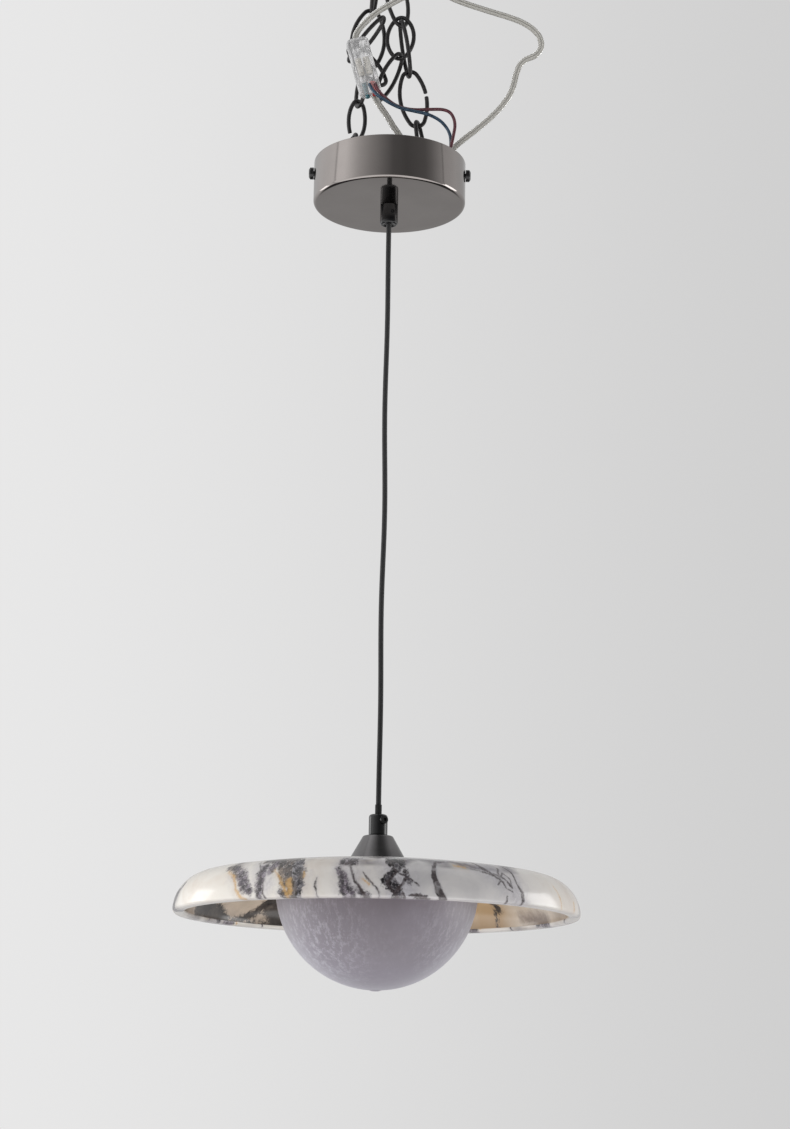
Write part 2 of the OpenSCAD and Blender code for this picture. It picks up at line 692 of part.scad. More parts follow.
// Half section of the shade's dome-like body for one offset inwards
module shade_body_section(off) {
    c = crown_r - off;
    s = shoulder_r - off;
    r = shade_d / 2 - off;
    sx = shade_d / 2 - shoulder_r;
    cz = shade_h - crown_r;
    sz = cz + sqrt(pow(crown_r - shoulder_r, 2) - sx * sx);
    touch_x = sx * crown_r / (crown_r - shoulder_r);
    intersection() {
        translate([0, cz]) circle(c, $fn = 720);
        square([touch_x, shade_h]);
    }
    translate([sx, sz]) circle(s, $fn = 96);
    square([r, sz]);
    square([sx, sz + s * 0.5]);
}
module marble_shade() {
    r = shade_d / 2;
    color("#e9e4dc") translate([0, 0, rim_z]) difference() {
        rotate_extrude($fn = 180) {
            difference() {
                intersection() {
                    shade_body_section(0);
                    translate([0, rim_edge]) square([r, shade_h]);
                }
                shade_body_section(shade_wall);
            }
            translate([r - shade_wall + rim_edge, 0])
                square([shade_wall - 2 * rim_edge, rim_edge]);
            for (x = [r - rim_edge, r - shade_wall + rim_edge])
                translate([x, rim_edge]) circle(rim_edge, $fn = 32);
        }
        translate([0, 0, shade_h / 2]) cylinder(h = shade_h, d = tube_d + 2 * tube_gap);
    }
}

module ring(z, h, d, hole) {
    translate([0, 0, z]) difference() {
        cylinder(h = h, d = d);
        translate([0, 0, -1]) cylinder(h = h + 2, d = hole);
    }
}
module rubber_washer() {
    color("#222222") ring(stone_in_z - washer_t - 0.3, washer_t, 40, tube_d + 2 * tube_gap);
}
module steel_washer() {
    color("silver") ring(stone_in_z - 2 * washer_t - 0.3, washer_t, 36, tube_d + 2 * tube_gap);
}
module shade_nut() {
    color("silver") translate([0, 0, gallery_z + gallery_t + 0.1]) hex_nut(grip_d, nut_h, tube_d + 0.1);
}
module dome_gallery() {
    color("white") difference() {
        union() {
            ring(gallery_z, gallery_t, gallery_d, tube_d + 0.4);
            translate([0, 0, gallery_z - 4]) difference() {
                cylinder(h = 4, d = gallery_d);
                translate([0, 0, -1]) cylinder(h = 6, d = gallery_d - 2 * gallery_t);
            }
        }
        for (k = [0:5]) rotate([0, 0, 30 + 60 * k]) translate([gallery_d / 3, 0, gallery_z - 1])
            cylinder(h = gallery_t + 2, d = 8);
    }
}
module gallery_nut() {
    color("silver") translate([0, 0, gallery_z - nut_h]) hex_nut(grip_d, nut_h, tube_d + 0.1);
}

// Three bent springs that press outwards on the inside of the dome's skirt
module dome_springs() {
    t = 0.8;
    w = 10;
    reach = dome_r - glass_t - 0.4;
    foot = gallery_d / 2;
    color("#c9c6bf") for (k = [0:2]) rotate([0, 0, 120 * k + 90]) translate([0, w / 2, 0])
        rotate([90, 0, 0]) linear_extrude(w) polygon([
            [foot - 14, gallery_z + gallery_t + 0.05],
            [reach - t - 1.5, gallery_z + gallery_t + 0.05],
            [reach - t, gallery_z + gallery_t - 2],
            [reach - t - 3, gallery_z - 8],
            [reach - 3, gallery_z - 8.3],
            [reach, gallery_z + gallery_t - 2],
            [reach - 1.2, gallery_z + gallery_t + 0.05 + t],
            [foot - 14, gallery_z + gallery_t + 0.05 + t]
        ]);
}

// Two-pin lamp holder with its screws and leads
module lamp_holder() {
    color("#f0ece4") difference() {
        union() {
            translate([0, 0, holder_z]) cylinder(h = holder_h - nut_h - 2.5, d = holder_d);
            translate([-holder_d * 0.84, -4, gallery_z - nut_h - 4.4])
                cube([holder_d * 1.68, 8, 2]);
        }
        for (s = [-1, 1]) {
            translate([s * pin_gap / 2, 0, holder_z - 1]) cylinder(h = pin_l + 2, d = 1.6);
            translate([s * holder_d * 0.66, 0, gallery_z - nut_h - 6]) cylinder(h = 6, d = 3.2);
        }
    }
}
module holder_screws() {
    color("silver") for (s = [-1, 1]) translate([s * holder_d * 0.66, 0, 0]) {
        translate([0, 0, gallery_z - nut_h - 6.2]) cylinder(h = 1.6, d = 4.6);
        translate([0, 0, gallery_z - nut_h - 4.7]) cylinder(h = nut_h + 4.5, d = 3);
    }
}
module lamp_leads() {
    color("#d9d4c8") for (s = [-1, 1]) translate([s * 1.7, 0, tube_bottom - 0.6])
        cylinder(h = tube_top - tube_bottom, d = 2);
}

// Opal dome: half a sphere with a short straight skirt and a small sealed tip
module glass_dome() {
    tip_r = 3;
    color([0.72, 0.69, 0.76]) translate([0, 0, dome_z]) rotate_extrude($fn = 128)
        intersection() {
            difference() {
                union() {
                    intersection() {
                        circle(dome_r, $fn = 180);
                        translate([0, -dome_r]) square([dome_r, dome_r]);
                    }
                    square([dome_r, dome_skirt]);
                    translate([0, -dome_r + tip_r - 0.7]) circle(tip_r, $fn = 32);
                }
                circle(dome_r - glass_t, $fn = 180);
                square([dome_r - glass_t, dome_skirt + 1]);
            }
            translate([0, -dome_r - 2]) square([dome_r + 1, dome_r + dome_skirt + 3]);
        }
}

module bulb_capsule() {
    r = bulb_d / 2;
    color([0.95, 0.94, 0.9]) translate([0, 0, bulb_z]) {
        translate([0, 0, r]) sphere(r);
        translate([0, 0, r]) cylinder(h = bulb_l - 7 - r, r = r);
    }
}
module bulb_base() {
    color("white") translate([0, 0, holder_z - 7 + eps]) cylinder(h = 6.7, d = bulb_d + 1);
}
module bulb_pins() {
    color("silver") for (s = [-1, 1]) translate([s * pin_gap / 2, 0, holder_z - 0.3 + eps])
        cylinder(h = pin_l, d = pin_d);
}

ceiling_plate();
ceiling_hook();
right_link(0);  // right_top_link
right_link(1);  // right_long_link
right_link(2, true, 2);  // right_open_link
right_link(3);  // right_bar_link
left_link(0);  // left_top_link
left_link(1);  // left_wide_link
left_link(2);  // left_middle_link
left_link(3, true, -14.9);  // left_open_link
left_link(4);  // left_bar_link
loose_ring_link();
loose_hanging_link();
loose_side_link();
loose_cross_link();
canopy_bracket();
canopy_cup();
canopy_screw_left();
canopy_screw_right();
canopy_grip();
canopy_grip_nut();
canopy_grip_screw();
canopy_cord_tail();
connector_block();
connector_clamps();
teal_sleeve();
red_sleeve();
clear_cord_long();
clear_cord_short();
blue_lead();
brown_lead();
suspension_cord();
cord_sleeve();
lamp_grip();
lamp_grip_knob();
cone_cap();
threaded_tube();
marble_shade();
rubber_washer();
steel_washer();
shade_nut();
dome_gallery();
gallery_nut();
dome_springs();
lamp_holder();
holder_screws();
lamp_leads();
glass_dome();
bulb_capsule();
bulb_base();
bulb_pins();
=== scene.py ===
import math

import bpy
import numpy as np
from mathutils import Matrix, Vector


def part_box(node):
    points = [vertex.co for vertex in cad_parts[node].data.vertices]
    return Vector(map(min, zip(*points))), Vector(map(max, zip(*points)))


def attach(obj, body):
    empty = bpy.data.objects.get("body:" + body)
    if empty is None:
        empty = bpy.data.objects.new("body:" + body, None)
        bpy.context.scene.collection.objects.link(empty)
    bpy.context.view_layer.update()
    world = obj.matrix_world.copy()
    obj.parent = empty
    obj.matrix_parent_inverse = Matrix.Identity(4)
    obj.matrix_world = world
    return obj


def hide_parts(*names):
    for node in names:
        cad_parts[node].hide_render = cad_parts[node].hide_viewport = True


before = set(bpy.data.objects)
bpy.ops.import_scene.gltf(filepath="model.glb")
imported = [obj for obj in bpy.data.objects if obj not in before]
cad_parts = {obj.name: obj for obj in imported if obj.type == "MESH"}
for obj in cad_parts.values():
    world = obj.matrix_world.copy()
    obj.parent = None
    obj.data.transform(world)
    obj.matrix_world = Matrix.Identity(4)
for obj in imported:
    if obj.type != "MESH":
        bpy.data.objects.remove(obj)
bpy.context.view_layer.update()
scene = bpy.context.scene
scene.view_settings.view_transform = "Standard"

# Camera: it looks up at the lamp from below the shade, a little turned about its own
# axis, as the photograph was taken.
RIM_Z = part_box("marble_shade")[0].z
camera_pitch = math.radians(13.465)
camera_roll = math.radians(0.952)
camera_data = bpy.data.cameras.new("camera")
camera_data.lens = 76.24
camera_data.sensor_width = 36
camera_data.sensor_fit = "AUTO"
camera = bpy.data.objects.new("camera", camera_data)
camera.location = (0.0093, -1.7734, RIM_Z - 0.1571)
camera.rotation_mode = "QUATERNION"
camera.rotation_quaternion = (
    Matrix.Rotation(math.pi / 2 + camera_pitch, 3, "X") @ Matrix.Rotation(camera_roll, 3, "Z")
).to_quaternion()
scene.collection.objects.link(camera)
scene.camera = camera

# Studio: an even grey wall of light that falls off gently to the right, and soft boxes
# left and right of the lamp whose long shapes show in the polished metal and stone.
class Nodes:
    """Short calls that add shader nodes to one tree. What goes into them is a number, a
    colour, a vector or another node's output, and each gives back its node's output. In
    every section below, n is the tree that is being built."""

    def __init__(self, tree):
        self.tree = tree

    def put(self, value, socket):
        """Sets a socket to a plain value or links an output to it."""
        if isinstance(value, (int, float)):
            socket.default_value = value
        elif isinstance(value, tuple):
            socket.default_value = (*value, 1)[:len(socket.default_value)]
        else:
            self.tree.links.new(value, socket)

    def add(self, kind, **values):
        """A node with its sockets filled by name, an underscore standing for a space."""
        node = self.tree.nodes.new("ShaderNode" + kind)
        for name, value in values.items():
            self.put(value, node.inputs[name.replace("_", " ")])
        return node

    def parts(self, vector):
        """The X, Y and Z outputs of a vector."""
        return self.add("SeparateXYZ", Vector=vector).outputs

    def math(self, operation, a, b=None):
        """One math operation on one or two values."""
        node = self.add("Math")
        node.operation = operation
        self.put(a, node.inputs[0])
        if b is not None:
            self.put(b, node.inputs[1])
        return node.outputs[0]

    def times(self, a, *others):
        """All the values multiplied."""
        for b in others:
            a = self.math("MULTIPLY", a, b)
        return a

    def span(self, value, low, high, to_low=0, to_high=1):
        """Value mapped from low..high to to_low..to_high and held at the ends."""
        return self.add("MapRange", Value=value, From_Min=low, From_Max=high,
                        To_Min=to_low, To_Max=to_high).outputs[0]

    def ramp(self, value, stops):
        """A colour ramp on value with stops of (place, linear colour)."""
        node = self.add("ValToRGB")
        self.put(value, node.inputs[0])
        elements = node.color_ramp.elements
        elements.remove(elements[0])
        elements[0].position = stops[0][0]
        elements[0].color = (*stops[0][1], 1)
        for place, colour in stops[1:]:
            elements.new(place).color = (*colour, 1)
        return node.outputs[0]

    def mix(self, share, a, b):
        """Colour a changed to b by share."""
        node = self.add("Mix")
        node.data_type = "RGBA"
        for value, index in ((share, 0), (a, 6), (b, 7)):
            self.put(value, node.inputs[index])
        return node.outputs[2]

    def noise(self, scale, detail=4, rough=0.55, vector=None, distort=0.0):
        """Noise on the given vector, or on Object coordinates."""
        if vector is None:
            vector = self.add("TexCoord").outputs["Object"]
        return self.add("TexNoise", Scale=scale, Detail=detail, Roughness=rough,
                        Distortion=distort, Vector=vector).outputs[0]


world = bpy.data.worlds.new("studio")
scene.world = world
world.use_nodes = True
world.node_tree.nodes.clear()
n = Nodes(world.node_tree)
toward = n.parts(n.add("TexCoord").outputs["Generated"])
side_fall = n.span(toward["X"], -0.22, 0.24, 0.815, 0.615)
side_fall.node.interpolation_type = "SMOOTHSTEP"
backdrop = n.add("Background", Color=(1.0, 0.997, 0.997), Strength=side_fall)
bearing = n.math("ARCTAN2", toward["X"], n.times(toward["Y"], -1.0))
room = n.ramp(n.span(bearing, -math.pi, math.pi), [
    (0.5 + degrees / 360, (level, level, level)) for degrees, level in (
        (-180, 0.34), (-160, 0.37), (-128, 0.7), (-93, 0.88), (-90, 0.5), (-87, 1.0),
        (-72, 1.0), (-49, 0.62), (-30, 0.42), (-11, 0.26), (5, 0.14), (26, 0.11),
        (56, 0.15), (67, 0.22), (87, 0.42), (89, 0.22), (91, 0.5), (120, 0.52),
        (150, 0.37), (180, 0.34),
    )
])
below = n.span(toward["Z"], -0.45, -0.6)
floor_tone = n.span(toward["Y"], 0.16, 0.04, 0.04, 1.15)
fill = n.add("Background", Color=n.mix(below, room, floor_tone), Strength=1.55)
rays = n.add("LightPath").outputs
seen = n.math("MAXIMUM", rays["Is Camera Ray"], rays["Is Transmission Ray"])
pick = n.add("MixShader")
for value, socket in zip((seen, fill.outputs[0], backdrop.outputs[0]), pick.inputs):
    n.put(value, socket)
n.add("OutputWorld", Surface=pick.outputs[0])


def soft_box(name, place, width, height, power):
    """An area light of width by height metres at place, facing the shade."""
    data = bpy.data.lights.new(name, "AREA")
    data.shape = "RECTANGLE"
    data.size = width
    data.size_y = height
    data.energy = power
    lamp = bpy.data.objects.new(name, data)
    lamp.location = place
    away = np.array(place) - (0, 0, RIM_Z + 0.05)
    away = away / np.linalg.norm(away)
    side = np.cross((0, 0, 1), away)
    side = side / np.linalg.norm(side)
    turn = np.array([side, np.cross(away, side), away]).T
    lamp.rotation_mode = "QUATERNION"
    lamp.rotation_quaternion = Matrix(turn.tolist()).to_quaternion()
    scene.collection.objects.link(lamp)


soft_box("left_box", (-1.35, 0.55, RIM_Z + 0.2), 0.5, 0.7, 2.6)
soft_box("right_box", (1.45, 0.3, RIM_Z + 0.15), 0.7, 1.0, 7)


# Braided suspension cord: a black textile braid over a round cable, straight in both
# grips and slightly wavy between them from having been coiled in its box.
def mesh_piece(name, material, verts, faces):
    """A smooth mesh object of one material at the origin from corners and faces."""
    mesh = bpy.data.meshes.new(name)
    mesh.from_pydata(verts.tolist(), [], faces)
    mesh.update()
    mesh.materials.append(material)
    mesh.polygons.foreach_set("use_smooth", [True] * len(mesh.polygons))
    piece = bpy.data.objects.new(name, mesh)
    scene.collection.objects.link(piece)
    return piece


def grid_faces(rows, columns, close_rows=False):
    """Quads over a grid whose columns, and its rows too where told so, close round."""
    i = np.arange(rows if close_rows else rows - 1)
    i, j = [a.ravel() for a in np.meshgrid(i, np.arange(columns), indexing="ij")]
    i2 = (i + 1) % rows
    j2 = (j + 1) % columns
    quads = [i * columns + j, i * columns + j2, i2 * columns + j2, i2 * columns + j]
    return np.stack(quads, axis=1).tolist()


def run_along(line):
    """Metres from a line's start to each of its points."""
    steps = np.linalg.norm(np.diff(line, axis=0), axis=1)
    return np.concatenate([[0], np.cumsum(steps)])


def ring_frames(line, side, closed=False):
    """Two unit vectors across a line at each point: u lies level in the plane seen along
    side, and v points along side."""
    if closed:
        run = np.roll(line, -1, 0) - np.roll(line, 1, 0)
    else:
        run = np.gradient(line, axis=0)
    run = run / np.linalg.norm(run, axis=1)[:, None]
    u = np.cross(run, np.array(side, float))
    u = u / np.linalg.norm(u, axis=1)[:, None]
    return u, np.cross(u, run)


def tube(name, material, line, sides, around, side=(0, 1, 0), closed=False):
    """A tube of so many sides along a line; around(t, a) gives the two offsets at share t
    along it and angle a round it, in metres. Open tubes get flat ends. It carries a UV
    map: u round the tube and v along it in metres."""
    u, v = ring_frames(line, side, closed)
    a = np.linspace(0, 2 * np.pi, sides, endpoint=False)
    t = np.linspace(0, 1, len(line))[:, None]
    off_u, off_v = around(t, a[None, :])
    rings = line[:, None] + off_u[..., None] * u[:, None] + off_v[..., None] * v[:, None]
    faces = grid_faces(len(line), sides, closed)
    if not closed:
        last = (len(line) - 1) * sides
        faces.append(list(range(sides))[::-1])
        faces.append(list(range(last, last + sides)))
    piece = mesh_piece(name, material, rings.reshape(-1, 3), faces)
    mesh = piece.data
    corner = np.zeros(len(mesh.loops), int)
    mesh.loops.foreach_get("vertex_index", corner)
    totals = np.zeros(len(mesh.polygons), int)
    mesh.polygons.foreach_get("loop_total", totals)
    owner = np.repeat(np.arange(len(totals)), totals)
    turn = (corner % sides) / sides
    top = np.zeros(len(totals))
    np.maximum.at(top, owner, turn)
    wraps = (top[owner] > 0.6) & (turn < 0.2)
    uv = np.stack([turn + wraps, run_along(line)[corner // sides]], axis=1)
    mesh.uv_layers.new(name="along").data.foreach_set("uv", uv.ravel())
    return piece


class Finish(Nodes):
    """A material with one Principled shader whose plain values are set by name."""

    def __init__(self, name, **values):
        self.material = bpy.data.materials.new(name)
        self.material.use_nodes = True
        super().__init__(self.material.node_tree)
        self.shade(**values)

    def shade(self, **values):
        """Sets or links the shader's sockets, an underscore standing for a space."""
        shader = self.tree.nodes["Principled BSDF"]
        for name, value in values.items():
            self.put(value, shader.inputs[name.replace("_", " ")])

    def along(self):
        """A tube's UV map: turns round it and metres along it."""
        node = self.add("UVMap")
        node.uv_map = "along"
        return node.outputs[0]

    def bump(self, height, strength, distance=0.0002):
        """A bump for the shader's normal."""
        return self.add("Bump", Height=height, Strength=strength,
                        Distance=distance).outputs[0]


CARRIER_PAIRS = 8
LAYS_PER_METRE = 620
TURN = 6.2832
n = Finish("black_braid", Roughness=0.75, Sheen_Weight=0.25)
braid_material = n.material
across, run = n.parts(n.along())[:2]
round_turn = n.times(across, CARRIER_PAIRS)
along_turn = n.times(run, LAYS_PER_METRE)
left_lay = n.math("SINE", n.times(n.math("ADD", round_turn, along_turn), TURN))
right_lay = n.math("SINE", n.times(n.math("SUBTRACT", round_turn, along_turn), TURN))
weave = n.math("MAXIMUM", left_lay, right_lay)
lit = n.span(weave, -0.2, 1.0)
n.shade(Base_Color=n.mix(lit, (0.004, 0.004, 0.005), (0.017, 0.017, 0.018)),
        Roughness=n.span(n.noise(2600, 2), 0.3, 0.7, 0.62, 0.85),
        Normal=n.bump(weave, 0.5))

CANOPY_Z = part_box("canopy_cup")[0].z
SWING_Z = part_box("suspension_cord")[1].z
CORD_END_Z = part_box("suspension_cord")[0].z
LAMP_GRIP_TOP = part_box("lamp_grip")[1].z
CORD_R = 0.002


def cord_wave(z):
    """The cord's small sideways waves: 0.7 mm high, two and a half in the free length,
    fading out at both grips."""
    q = np.clip((SWING_Z - 0.020 - z) / (SWING_Z - LAMP_GRIP_TOP - 0.040), 0, 1)
    return 0.0007 * np.sin(2 * np.pi * 2.5 * q) * np.sin(np.pi * q)


cord_z = np.linspace(SWING_Z, CORD_END_Z, 1700)
cord_line = np.stack([cord_wave(cord_z), 0 * cord_z, cord_z], axis=1)


def braid_round(t, a):
    """Circle of the cord's radius with the low crossing ridges of a 16-carrier braid."""
    run = t * (SWING_Z - CORD_END_Z) * LAYS_PER_METRE * 2 * np.pi
    ridge = np.maximum(np.sin(CARRIER_PAIRS * a + run), np.sin(CARRIER_PAIRS * a - run))
    r = CORD_R * (1 - 0.02 + 0.02 * ridge)
    return r * np.cos(a), r * np.sin(a)


suspension = tube("suspension_cord_braid", braid_material, cord_line, 26, braid_round)
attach(suspension, "cord")
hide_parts("suspension_cord")

# Clear twin cords: two stranded cores side by side in clear plastic. The long one leaves
# the connector's top, arches out to the right and comes back into the canopy; the short
# one leaves the connector's lower end. The cores inside are tinned copper.
n = Finish("clear_flex", Roughness=0.25, IOR=1.35, Transmission_Weight=0.5)
clear_material = n.material
cloud = n.noise(90, 2)
# Painted shade and highlight: a fixed band pattern round the clear skin, dark at its edges and
# bright across its faces
to_edge = n.math("ABSOLUTE", n.math("COSINE", n.times(n.parts(n.along())["X"], TURN)))
edge_shade_and_highlight_bands = n.ramp(to_edge, [
    (0.0, (0.30, 0.29, 0.27)), (0.1, (0.46, 0.45, 0.42)), (0.3, (0.9, 0.89, 0.86)),
    (0.5, (0.62, 0.605, 0.57)), (0.75, (0.56, 0.545, 0.51)), (0.92, (0.44, 0.43, 0.40)),
    (1.0, (0.2, 0.19, 0.175)),
])
n.shade(Base_Color=n.mix(n.span(cloud, 0.35, 0.65, 0, 0.3), edge_shade_and_highlight_bands, (0.6, 0.585, 0.55)),
        Roughness=n.span(cloud, 0.3, 0.7, 0.2, 0.34))
n = Finish("tinned_strands", Metallic=0.2, Roughness=0.6)
core_material = n.material
core_map = n.add("Mapping", Vector=n.along(), Scale=(3.0, 60.0, 1.0))
twist = n.add("TexWave", Vector=core_map.outputs[0], Scale=3.0).outputs["Fac"]
n.shade(Base_Color=n.mix(twist, (0.74, 0.73, 0.69), (0.86, 0.85, 0.81)),
        Normal=n.bump(twist, 0.05, 0.0001))

FLAT_W = 0.005
FLAT_T = 0.0026
CORE_R = 0.0008
CORE_SIDE = FLAT_W * 0.26


def between(t, start, stop, a, b):
    """The point at t on the straight way from a, at start, to b, at stop."""
    return (stop - t) / (stop - start) * a + (t - start) / (stop - start) * b


def smooth_line(points, step):
    """Even points every step metres on a centripetal Catmull-Rom curve through points."""
    p = np.array(points, float)
    p = np.vstack([2 * p[0] - p[1], p, 2 * p[-1] - p[-2]])
    made = []
    for a, b, c, d in zip(p[:-3], p[1:-2], p[2:-1], p[3:]):
        k = np.sqrt([np.linalg.norm(b - a), np.linalg.norm(c - b), np.linalg.norm(d - c)])
        t0 = 0.0
        t1, t2, t3 = np.cumsum(k)
        t = np.linspace(t1, t2, 40, endpoint=False)[:, None]
        ab = between(t, t0, t1, a, b)
        bc = between(t, t1, t2, b, c)
        cd = between(t, t2, t3, c, d)
        abc = between(t, t0, t2, ab, bc)
        bcd = between(t, t1, t3, bc, cd)
        made.append(between(t, t1, t2, abc, bcd))
    line = np.vstack(made + [p[-2][None]])
    run = run_along(line)
    even = np.linspace(0, run[-1], max(int(run[-1] / step), 2))
    return np.stack([np.interp(even, run, line[:, k]) for k in range(3)], axis=1)


def twin_round(t, a):
    """Section of a twin cord: a rounded bar with a shallow waist between its two cores."""
    u = FLAT_W / 2 * np.sign(np.cos(a)) * np.abs(np.cos(a)) ** 0.8
    waist = 1 - 0.28 * np.exp(-((u / (FLAT_W * 0.13)) ** 2))
    v = FLAT_T / 2 * np.sign(np.sin(a)) * np.abs(np.sin(a)) ** 0.8 * waist
    return u + 0 * t, v + 0 * t


def wire_round(radius):
    """Round wire of one radius, or of a column of radii along the line."""
    return lambda t, a: (radius * np.cos(a) + 0 * t, radius * np.sin(a) + 0 * t)


long_route = [
    (-28.6, -19.5, 132.6), (-29, -19.5, 136), (-27, -19, 141), (-23, -18, 147),
    (-15, -17, 156), (-6, -16.5, 163), (5, -16, 170), (16, -15, 176), (27, -13, 179),
    (39, -12, 178), (51, -11, 173), (60, -10, 170), (72, -8, 167), (83, -7, 164),
    (94, -6, 161), (105, -5, 157), (113, -4, 152), (118, -2, 147), (120, -1, 141),
    (119, 0, 136), (115, 0, 131), (108, 1, 128), (103, 1, 123), (100, 2, 115),
    (98, 2, 106), (95, 3, 98), (89, 4, 89), (81, 5, 80), (70, 6, 70), (59, 7, 61),
    (51, 9, 54), (46, 12, 45), (42, 14, 36), (36, 15, 26), (30, 15, 18),
]
short_route = [
    (-12.6, -19.5, 84.3), (-12, -19.5, 82), (-9, -19, 77), (-3, -17, 69), (2, -16, 61),
    (7, -15, 54), (12, -14.5, 45), (15, -14, 36), (16, -13, 26),
]


def in_canopy(route):
    """A route given in millimetres above the canopy's underside, in the row's frame."""
    return np.array(route) / 1000 + (0, 0, CANOPY_Z)


for name, node, route in (
    ("clear_cord_long_sleeve", "clear_cord_long", long_route),
    ("clear_cord_short_sleeve", "clear_cord_short", short_route),
):
    line = smooth_line(in_canopy(route), 0.0011)
    skin = tube(name, clear_material, line, 24, twin_round)
    across, level = ring_frames(line, (0, 1, 0))
    for side, word in ((-1, "left"), (1, "right")):
        core_line = line + side * CORE_SIDE * across
        core = tube(f"{node}_{word}_core", core_material, core_line, 12, wire_round(CORE_R))
        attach(core, "chain")
    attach(skin, "chain")
    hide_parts(node)

# Blue and brown leads: single cores in glossy plastic that come out of the connector's
# front and go down into the canopy, where they meet the pendant cord's end.
def mottled(name, scale, detail, deep, pale, rough=None, bump=None, fine=None,
            spread=(0.35, 0.65), **values):
    """A material whose colour wanders between deep and pale with a noise, as does its
    roughness over the range rough. Its bump follows that noise, or one of scale fine."""
    n = Finish(name, **values)
    tone = n.noise(scale, detail)
    n.shade(Base_Color=n.mix(n.span(tone, *spread), deep, pale))
    if rough:
        n.shade(Roughness=n.span(tone, 0.3, 0.7, *rough))
    if bump:
        n.shade(Normal=n.bump(n.noise(fine, 2) if fine else tone, bump))
    return n.material


LEAD_R = 0.0013
blue_route = [
    (-17, -25.6, 91), (-17, -27.4, 91), (-15, -28, 86.5), (-11, -27, 82.5),
    (-5, -23.5, 79.8), (1, -20.5, 77.5), (8, -18, 75.5), (19, -15, 74.3), (30, -12, 73),
    (39, -10, 69), (44, -9, 64), (47, -9, 58), (48, -9, 50), (47, -9, 40), (43, -9, 30),
    (34, -8, 21), (24, -6, 19), (14, -3, 21), (7, -1, 23), (3, 0, 21), (1.5, 0, 18),
    (1.5, 0, 15.6),
]
brown_route = [
    (-12.5, -25.6, 91.4), (-12.5, -27.3, 91.4), (-11, -27.6, 87.5), (-8, -25, 84.5),
    (-3, -20.3, 81.8), (4, -16, 78.8), (12, -13.5, 77.2), (20, -12, 77), (31, -12, 77.5),
    (42, -12, 77.3), (47, -12, 75), (50, -12, 70), (51, -12, 64), (50, -12.5, 56),
    (48, -13, 46), (45, -13, 36), (40, -13, 27), (32, -12.5, 20), (22, -11, 16.5),
    (12, -8, 17), (4, -5, 20), (-1, -2, 22), (-1.5, 0, 19), (-1.5, 0, 15.6),
]
for node, route, deep, pale, slot in (
    ("blue_lead", blue_route, (0.016, 0.045, 0.085), (0.05, 0.105, 0.17), "blue_plastic"),
    ("brown_lead", brown_route, (0.075, 0.012, 0.022), (0.16, 0.04, 0.055), "brown_plastic"),
):
    material = mottled(node + "_plastic", 260, 4, deep, pale, rough=(0.28, 0.45), bump=0.1,
                       Roughness=0.35, Coat_Weight=0.3)
    line = smooth_line(in_canopy(route), 0.0009)
    lead = tube(node + "_wire", material, line, 16, wire_round(LEAD_R), side=(0, 0.7, 0.7))
    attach(lead, "chain")
    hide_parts(node)

# Chain: thirteen oval links bent from round wire and enamelled black, hooked through one
# another. Nine make the two strands; four loose ones join them half-way up.
enamel_material = mottled(
    "black_enamel", 220, 5, (0.006, 0.005, 0.006), (0.02, 0.017, 0.018), rough=(0.42, 0.6),
    bump=0.18, fine=900, spread=(0.35, 0.7), Roughness=0.5, Coat_Weight=0.1,
    Coat_Roughness=0.3,
)

WIRE = 0.0033
SEAT = 0.0003
HOOK_WIRE = 0.005
HOOK_R = 0.018
HOOK_BACK_R = 0.005
HOOK_SIDE = 0.0046
HOOK_TURN = -30
hook_back_a = math.acos((HOOK_BACK_R + HOOK_SIDE) / (HOOK_R + HOOK_BACK_R))
HOOK_Z = -(0.003 + 0.004 + (HOOK_R + HOOK_BACK_R) * math.sin(hook_back_a))
hook_dir = np.array([math.cos(math.radians(HOOK_TURN)), math.sin(math.radians(HOOK_TURN)), 0])


def turn_matrix(x=0, y=0, z=0):
    """Rotation about X, then Y, then Z of the link itself, in degrees."""
    made = np.eye(3)
    for angle, axis in ((x, "X"), (y, "Y"), (z, "Z")):
        made = made @ np.array(Matrix.Rotation(math.radians(angle), 3, axis))
    return made


def oval_shape(length, width, nose):
    """Half length, half width, side radius and nose angle of a four-arc oval."""
    a = (length - WIRE) / 2
    b = (width - WIRE) / 2
    r = (a * a - 2 * a * nose + b * b) / (2 * (b - nose))
    return a, b, r, math.atan2(a - nose, r - b)


def xz_arc(x, z, radius, q):
    """Points at the angles q round a centre in the XZ plane."""
    return np.stack([x + radius * np.cos(q), 0 * q, z + radius * np.sin(q)], axis=1)


def oval_arc(x, z, radius, start, stop):
    """Points on an arc in the XZ plane, a third of a millimetre apart, without its end."""
    count = max(int(abs(stop - start) * radius / 0.00033), 4)
    return xz_arc(x, z, radius, np.linspace(start, stop, count, endpoint=False))


def oval_line(length, width, nose, gap_z=None, gap=0.003):
    """Centreline of a link standing in the XZ plane, from above its gap or seam on the
    right side round to below it, with points every third of a millimetre. A gap below
    the side arc lies in the lower nose."""
    a, b, r, al = oval_shape(length, width, nose)
    pi = math.pi
    right = (b - r, 0, r)
    bottom = (0, nose - a, nose)
    over = [oval_arc(0, a - nose, nose, al, pi - al), oval_arc(r - b, 0, r, pi - al, pi + al)]
    if gap_z is not None and gap_z < -r * math.sin(al):
        cut = math.asin((gap_z + a - nose) / nose)
        half = gap / 2 / nose
        return np.vstack([oval_arc(*bottom, cut + half, -al), oval_arc(*right, -al, al), *over,
                          oval_arc(*bottom, al - pi, cut - half)])
    cut = math.asin((0.0 if gap_z is None else gap_z) / r)
    half = 0.0 if gap_z is None else gap / 2 / r
    line = [oval_arc(*right, cut + half, al), *over, oval_arc(*bottom, pi + al, 2 * pi - al),
            oval_arc(*right, -al, cut - half)]
    if gap_z is not None:
        line.append(xz_arc(*right, np.array([cut - half])))
    return np.vstack(line)


